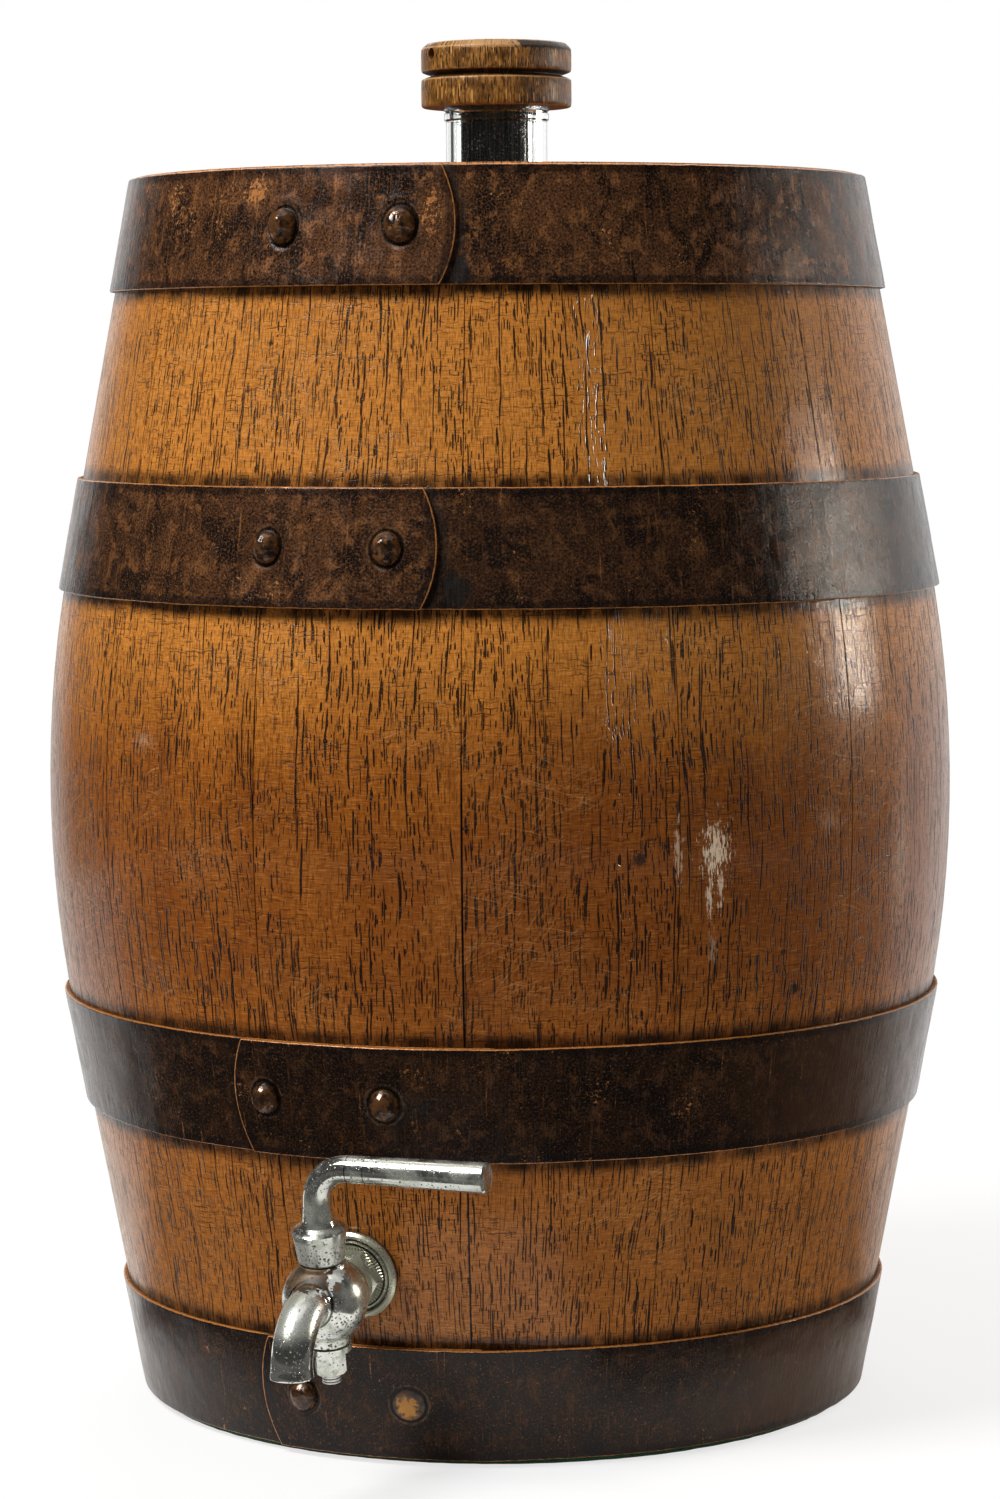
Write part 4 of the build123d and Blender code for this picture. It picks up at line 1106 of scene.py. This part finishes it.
def make_knob():
    """The turned knob: rounded and worn edges, a V groove with a thin lip, and the vent hole."""
    low, high, r = stopper_low, stopper_low + stopper_height, stopper_radius
    groove = low + stopper_groove
    outline = [(0.0, low), (11.0, low), (20.0, low), (r - 1.0, low), (r - 0.5, low + 0.08),
               (r - 0.15, low + 0.3), (r, low + 0.7)]
    outline += [(r, low + 0.7 + t * 1.2) for t in range(1, 6)]
    outline += [(r, groove - 1.5), (r - 0.1, groove - 1.2), (r - 0.45, groove - 0.95),
                (r - 1.6, groove - 0.55), (r - 2.9, groove - 0.12), (r - 3.15, groove + 0.05),
                (r - 2.9, groove + 0.3), (r - 1.2, groove + 0.85), (r - 0.4, groove + 1.15),
                (r - 0.1, groove + 1.4), (r, groove + 1.8)]
    outline += [(r, groove + 1.8 + t * 0.95) for t in range(1, 6)]
    outline += [(r, high - 2.05), (r - 0.05, high - 1.85), (r - 0.2, high - 1.65),
                (r - 0.9, high - 0.95), (r - 1.65, high - 0.2), (r - 1.85, high - 0.05),
                (r - 2.1, high), (16.0, high - 0.05), (8.0, high - 0.1), (0.0, high - 0.1)]
    corners = [(r - 0.4, low + 0.15), (r - 0.1, groove - 1.2), (r - 0.2, groove + 1.2),
               (r - 0.1, high - 1.8), (r - 1.8, high - 0.1)]
    count = 288
    vertices, edges = [], []
    for reach, z in outline:
        wear = min(math.hypot(reach - a, z - b) for a, b in corners)
        for i in range(count):
            angle = 2 * math.pi * i / count
            spot = Vector((math.sin(angle) * 2.4, math.cos(angle) * 2.4, z * 0.12))
            rough = noise.noise(spot * 2.2) * 0.10 + noise.noise(spot * 7.0) * 0.06
            inward = max(0.0, 0.10 * smooth(wear, 1.5, 0.0) + rough) if reach > 12 else 0.0
            radius = max(reach - inward, 0.0)
            vertices.append(round_point(angle, radius, z))
            edges.append(wear)
    faces = round_faces(0, len(outline), count)
    knob = make_object("stopper_turned", vertices, faces, "stopper", "stopper_knob", "stopper_oak")
    keep_numbers(knob, "edge", edges)
    mend(knob.data, 1e-6)
    bore_vent(knob)


def bore_vent(knob):
    """The small vent hole near the knob's top edge."""
    bm = bmesh.new()
    bmesh.ops.create_cone(bm, cap_ends=True, segments=40, radius1=vent_radius * MM,
                          radius2=vent_radius * MM, depth=9.0 * MM)
    mesh = bpy.data.meshes.new("vent_cutter")
    bm.to_mesh(mesh)
    bm.free()
    cutter = new_object("vent_cutter", mesh)
    angle = math.radians(vent_angle)
    cutter.location = (math.sin(angle) * stopper_radius * MM,
                       -math.cos(angle) * stopper_radius * MM, (stopper_low + vent_level) * MM)
    cutter.rotation_euler = (math.radians(90), 0, angle)
    modifier = knob.modifiers.new("vent", "BOOLEAN")
    modifier.object = cutter
    modifier.operation = "DIFFERENCE"
    modifier.solver = "EXACT"
    fix_modifiers(knob)
    bpy.data.objects.remove(cutter)


make_knob()


# Tap body

def tap_point(x, y, z):
    """A point of the tap's own frame in millimetres, as metres in the row frame."""
    cosine, sine = math.cos(end_slope), math.sin(end_slope)
    return Vector((x, y * cosine - z * sine + tap_foot_y, y * sine + z * cosine + tap_foot_z)) * MM


def add_ring(bm, inner, outer, start, end, rise):
    """A round-edged ring about a line along the tap's Y, from start to end."""
    edge = min(0.35, (end - start) / 3)
    section = [(inner, start), (outer - edge, start), (outer, start + edge), (outer, end - edge),
               (outer - edge, end), (inner, end)]
    count = 96
    loops = []
    for i in range(count):
        angle = 2 * math.pi * i / count
        loop = []
        for radius, y in section:
            point = tap_point(radius * math.cos(angle), y, rise + radius * math.sin(angle))
            loop.append(bm.verts.new(point))
        loops.append(loop)
    for i in range(count):
        a, b = loops[i], loops[(i + 1) % count]
        for k in range(len(section)):
            n = (k + 1) % len(section)
            bm.faces.new((a[k], a[n], b[n], b[k]))


def make_tap_body():
    """The casting with soft corners, a ring round the spout's root and a band behind the globe."""
    source = frame["nodes"]["tap_body"]
    bm = bmesh.new()
    bm.from_mesh(source.data)
    bmesh.ops.remove_doubles(bm, verts=bm.verts, dist=1e-7)
    add_ring(bm, 5.2, 6.5, -tap_reach - 11.4, -tap_reach - 9.9, spout_rise)
    add_ring(bm, 5.2, 10.0, -tap_reach + 7.7, -tap_reach + 10.3, 0.6)
    bmesh.ops.recalc_face_normals(bm, faces=bm.faces)
    mesh = bpy.data.meshes.new("tap_casting")
    bm.to_mesh(mesh)
    bm.free()
    body = new_object("tap_casting", mesh)
    modifier = body.modifiers.new("even", "REMESH")
    modifier.mode = "VOXEL"
    modifier.voxel_size = 0.00036
    fix_modifiers(body)
    bm = bmesh.new()
    bm.from_mesh(body.data)
    axis_foot, axis_top = tap_point(0, -tap_reach, 0), tap_point(0, -tap_reach, 1)
    axis = (axis_top - axis_foot).normalized()
    skin = []
    for vertex in bm.verts:
        offset = vertex.co - axis_foot
        from_key = (offset - axis * offset.dot(axis)).length
        if from_key > 6.3 * MM and vertex.co.y < (tap_foot_y - 8.0) * MM:
            skin.append(vertex)
    for _ in range(7):
        bmesh.ops.smooth_vert(bm, verts=skin, factor=0.5, use_axis_x=True, use_axis_y=True,
                              use_axis_z=True)
    bm.to_mesh(body.data)
    bm.free()
    body.data.shade_smooth()
    body.data.materials.clear()
    body.data.materials.append(materials["body_chrome"])
    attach(body, "cask")
    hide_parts("tap_body")


make_tap_body()


# Stage, light and camera

def make_floor():
    """A pale floor that fades out into the background far from the cask."""
    mesh = bpy.data.meshes.new("floor")
    reach = 4.0
    corners = [(-reach, -reach, 0), (reach, -reach, 0), (reach, reach, 0), (-reach, reach, 0)]
    mesh.from_pydata(corners, [], [(0, 1, 2, 3)])
    floor = new_object("floor", mesh)
    g = Graph("floor_paint")
    distance = g.length(g.coordinates)
    paint = g.add("ShaderNodeBsdfDiffuse")
    paint.inputs[0].default_value = (0.86, 0.86, 0.855, 1)
    white = g.add("ShaderNodeEmission")
    seen = g.add("ShaderNodeLightPath").outputs["Is Camera Ray"]
    lifted = g.add("ShaderNodeMixShader")
    g.put(lifted.inputs[0], g.math("MULTIPLY", seen, 0.72))
    g.tree.links.new(paint.outputs[0], lifted.inputs[1])
    g.tree.links.new(white.outputs[0], lifted.inputs[2])
    clear = g.add("ShaderNodeBsdfTransparent")
    blend = g.add("ShaderNodeMixShader")
    g.put(blend.inputs[0], g.step(distance, 0.20, 0.60))
    g.tree.links.new(lifted.outputs[0], blend.inputs[1])
    g.tree.links.new(clear.outputs[0], blend.inputs[2])
    out = g.add("ShaderNodeOutputMaterial")
    g.tree.links.new(blend.outputs[0], out.inputs[0])
    mesh.materials.append(g.material)


def make_flag(name, angles, edges, grey, through=False):
    """A dark studio flag round the cask, seen only in reflections, or through glass too."""
    vertices, faces = [], []
    for degrees, pair in zip(angles, edges):
        for reach, z in pair:
            vertices.append(round_point(math.radians(degrees), reach, z))
    for i in range(len(angles) - 1):
        faces.append((2 * i, 2 * i + 1, 2 * i + 3, 2 * i + 2))
    mesh = bpy.data.meshes.new(name)
    mesh.from_pydata(vertices, [], faces)
    flag = new_object(name, mesh)
    g = Graph(name + "_cloth")
    mesh.materials.append(g.finish(Base_Color=grey, Roughness=1.0))
    flag.visible_camera = False
    flag.visible_diffuse = False
    flag.visible_transmission = through
    flag.visible_shadow = False


def arc(low, high, count):
    """Angles from low to high in equal steps."""
    return [low + (high - low) * i / count for i in range(count + 1)]


def mat_edges(degrees):
    """The mat in front of the cask, which leaves the floor under the tap pale."""
    under_tap = smooth(abs(degrees - 10.0), 30.0, 18.0)
    return (0.155 + 0.090 * under_tap, 0.0004), (1.1, 0.0004)


def make_world():
    """White where it is seen, directly or in the glass and metal, and dim as a light."""
    world = bpy.data.worlds.new("studio")
    bpy.context.scene.world = world
    world.use_nodes = True
    tree = world.node_tree
    tree.nodes.clear()
    path = tree.nodes.new("ShaderNodeLightPath")
    total = path.outputs["Is Camera Ray"]
    for name in ("Is Glossy Ray", "Is Transmission Ray"):
        add = tree.nodes.new("ShaderNodeMath")
        add.operation = "MAXIMUM"
        tree.links.new(total, add.inputs[0])
        tree.links.new(path.outputs[name], add.inputs[1])
        total = add.outputs[0]
    strength = tree.nodes.new("ShaderNodeMapRange")
    strength.inputs[3].default_value = 0.34
    strength.inputs[4].default_value = 1.0
    tree.links.new(total, strength.inputs[0])
    background = tree.nodes.new("ShaderNodeBackground")
    background.inputs[0].default_value = (1, 1, 1, 1)
    tree.links.new(strength.outputs[0], background.inputs[1])
    out = tree.nodes.new("ShaderNodeOutputWorld")
    tree.links.new(background.outputs[0], out.inputs[0])


def make_light(name, azimuth, elevation, distance, width, height, power, colour=(1, 1, 1)):
    """An area light that looks at the middle of the cask."""
    a, e = math.radians(azimuth), math.radians(elevation)
    target = Vector((0, 0, 0.2))
    away = Vector((math.sin(a) * math.cos(e), -math.cos(a) * math.cos(e), math.sin(e)))
    place = target + away * distance
    data = bpy.data.lights.new(name, "AREA")
    data.shape = "RECTANGLE"
    data.size, data.size_y = width, height
    data.energy = power
    data.color = colour
    lamp = new_object(name, data)
    lamp.location = place
    lamp.rotation_euler = (target - place).to_track_quat("-Z", "Y").to_euler()
    return lamp


make_world()
make_floor()
front = arc(-125.0, 136.0, 24)
make_flag("flag_front", front, [((3.0, -0.3), (3.0, 6.0))] * len(front), (0.04, 0.04, 0.04), True)
back = arc(186.0, 212.0, 24)
make_flag("flag_back", back, [((3.0, -0.3), (3.0, 2.6))] * len(back), (0.04, 0.04, 0.04))
mat = arc(-85.0, 130.0, 86)
make_flag("flag_low", mat, [mat_edges(degrees) for degrees in mat], (0.035, 0.032, 0.03))
make_light("key", -35.0, 49.0, 1.8, 0.7, 0.7, 37.5)
fill = make_light("fill", 146.0, 18.0, 2.2, 0.8, 1.4, 42.0, (1.0, 0.93, 0.84))
fill.visible_glossy = False
make_light("back", 200.0, 35.0, 2.2, 1.2, 1.0, 12.0)
strip = make_light("strip", 118.5, 8.0, 1.7, 0.035, 0.38, 9.0, (1.0, 0.93, 0.82))
strip.visible_diffuse = False

camera_azimuth = math.radians(20.33)
camera_tilt = math.radians(90.0 - 5.358)
camera_roll = math.radians(-0.316)
camera_distance = 1.3279
camera_height = 0.3262
camera_data = bpy.data.cameras.new("camera")
camera_data.sensor_width = 36.0
camera_data.lens = 100.94
camera = new_object("camera", camera_data)
camera.location = (camera_distance * math.sin(camera_azimuth),
                   -camera_distance * math.cos(camera_azimuth), camera_height)
aim = Matrix.Rotation(camera_azimuth, 4, "Z") @ Matrix.Rotation(camera_tilt, 4, "X")
aim = aim @ Matrix.Rotation(camera_roll, 4, "Z")
camera.rotation_euler = aim.to_euler()
bpy.context.scene.camera = camera
bpy.context.scene.view_settings.view_transform = "Standard"
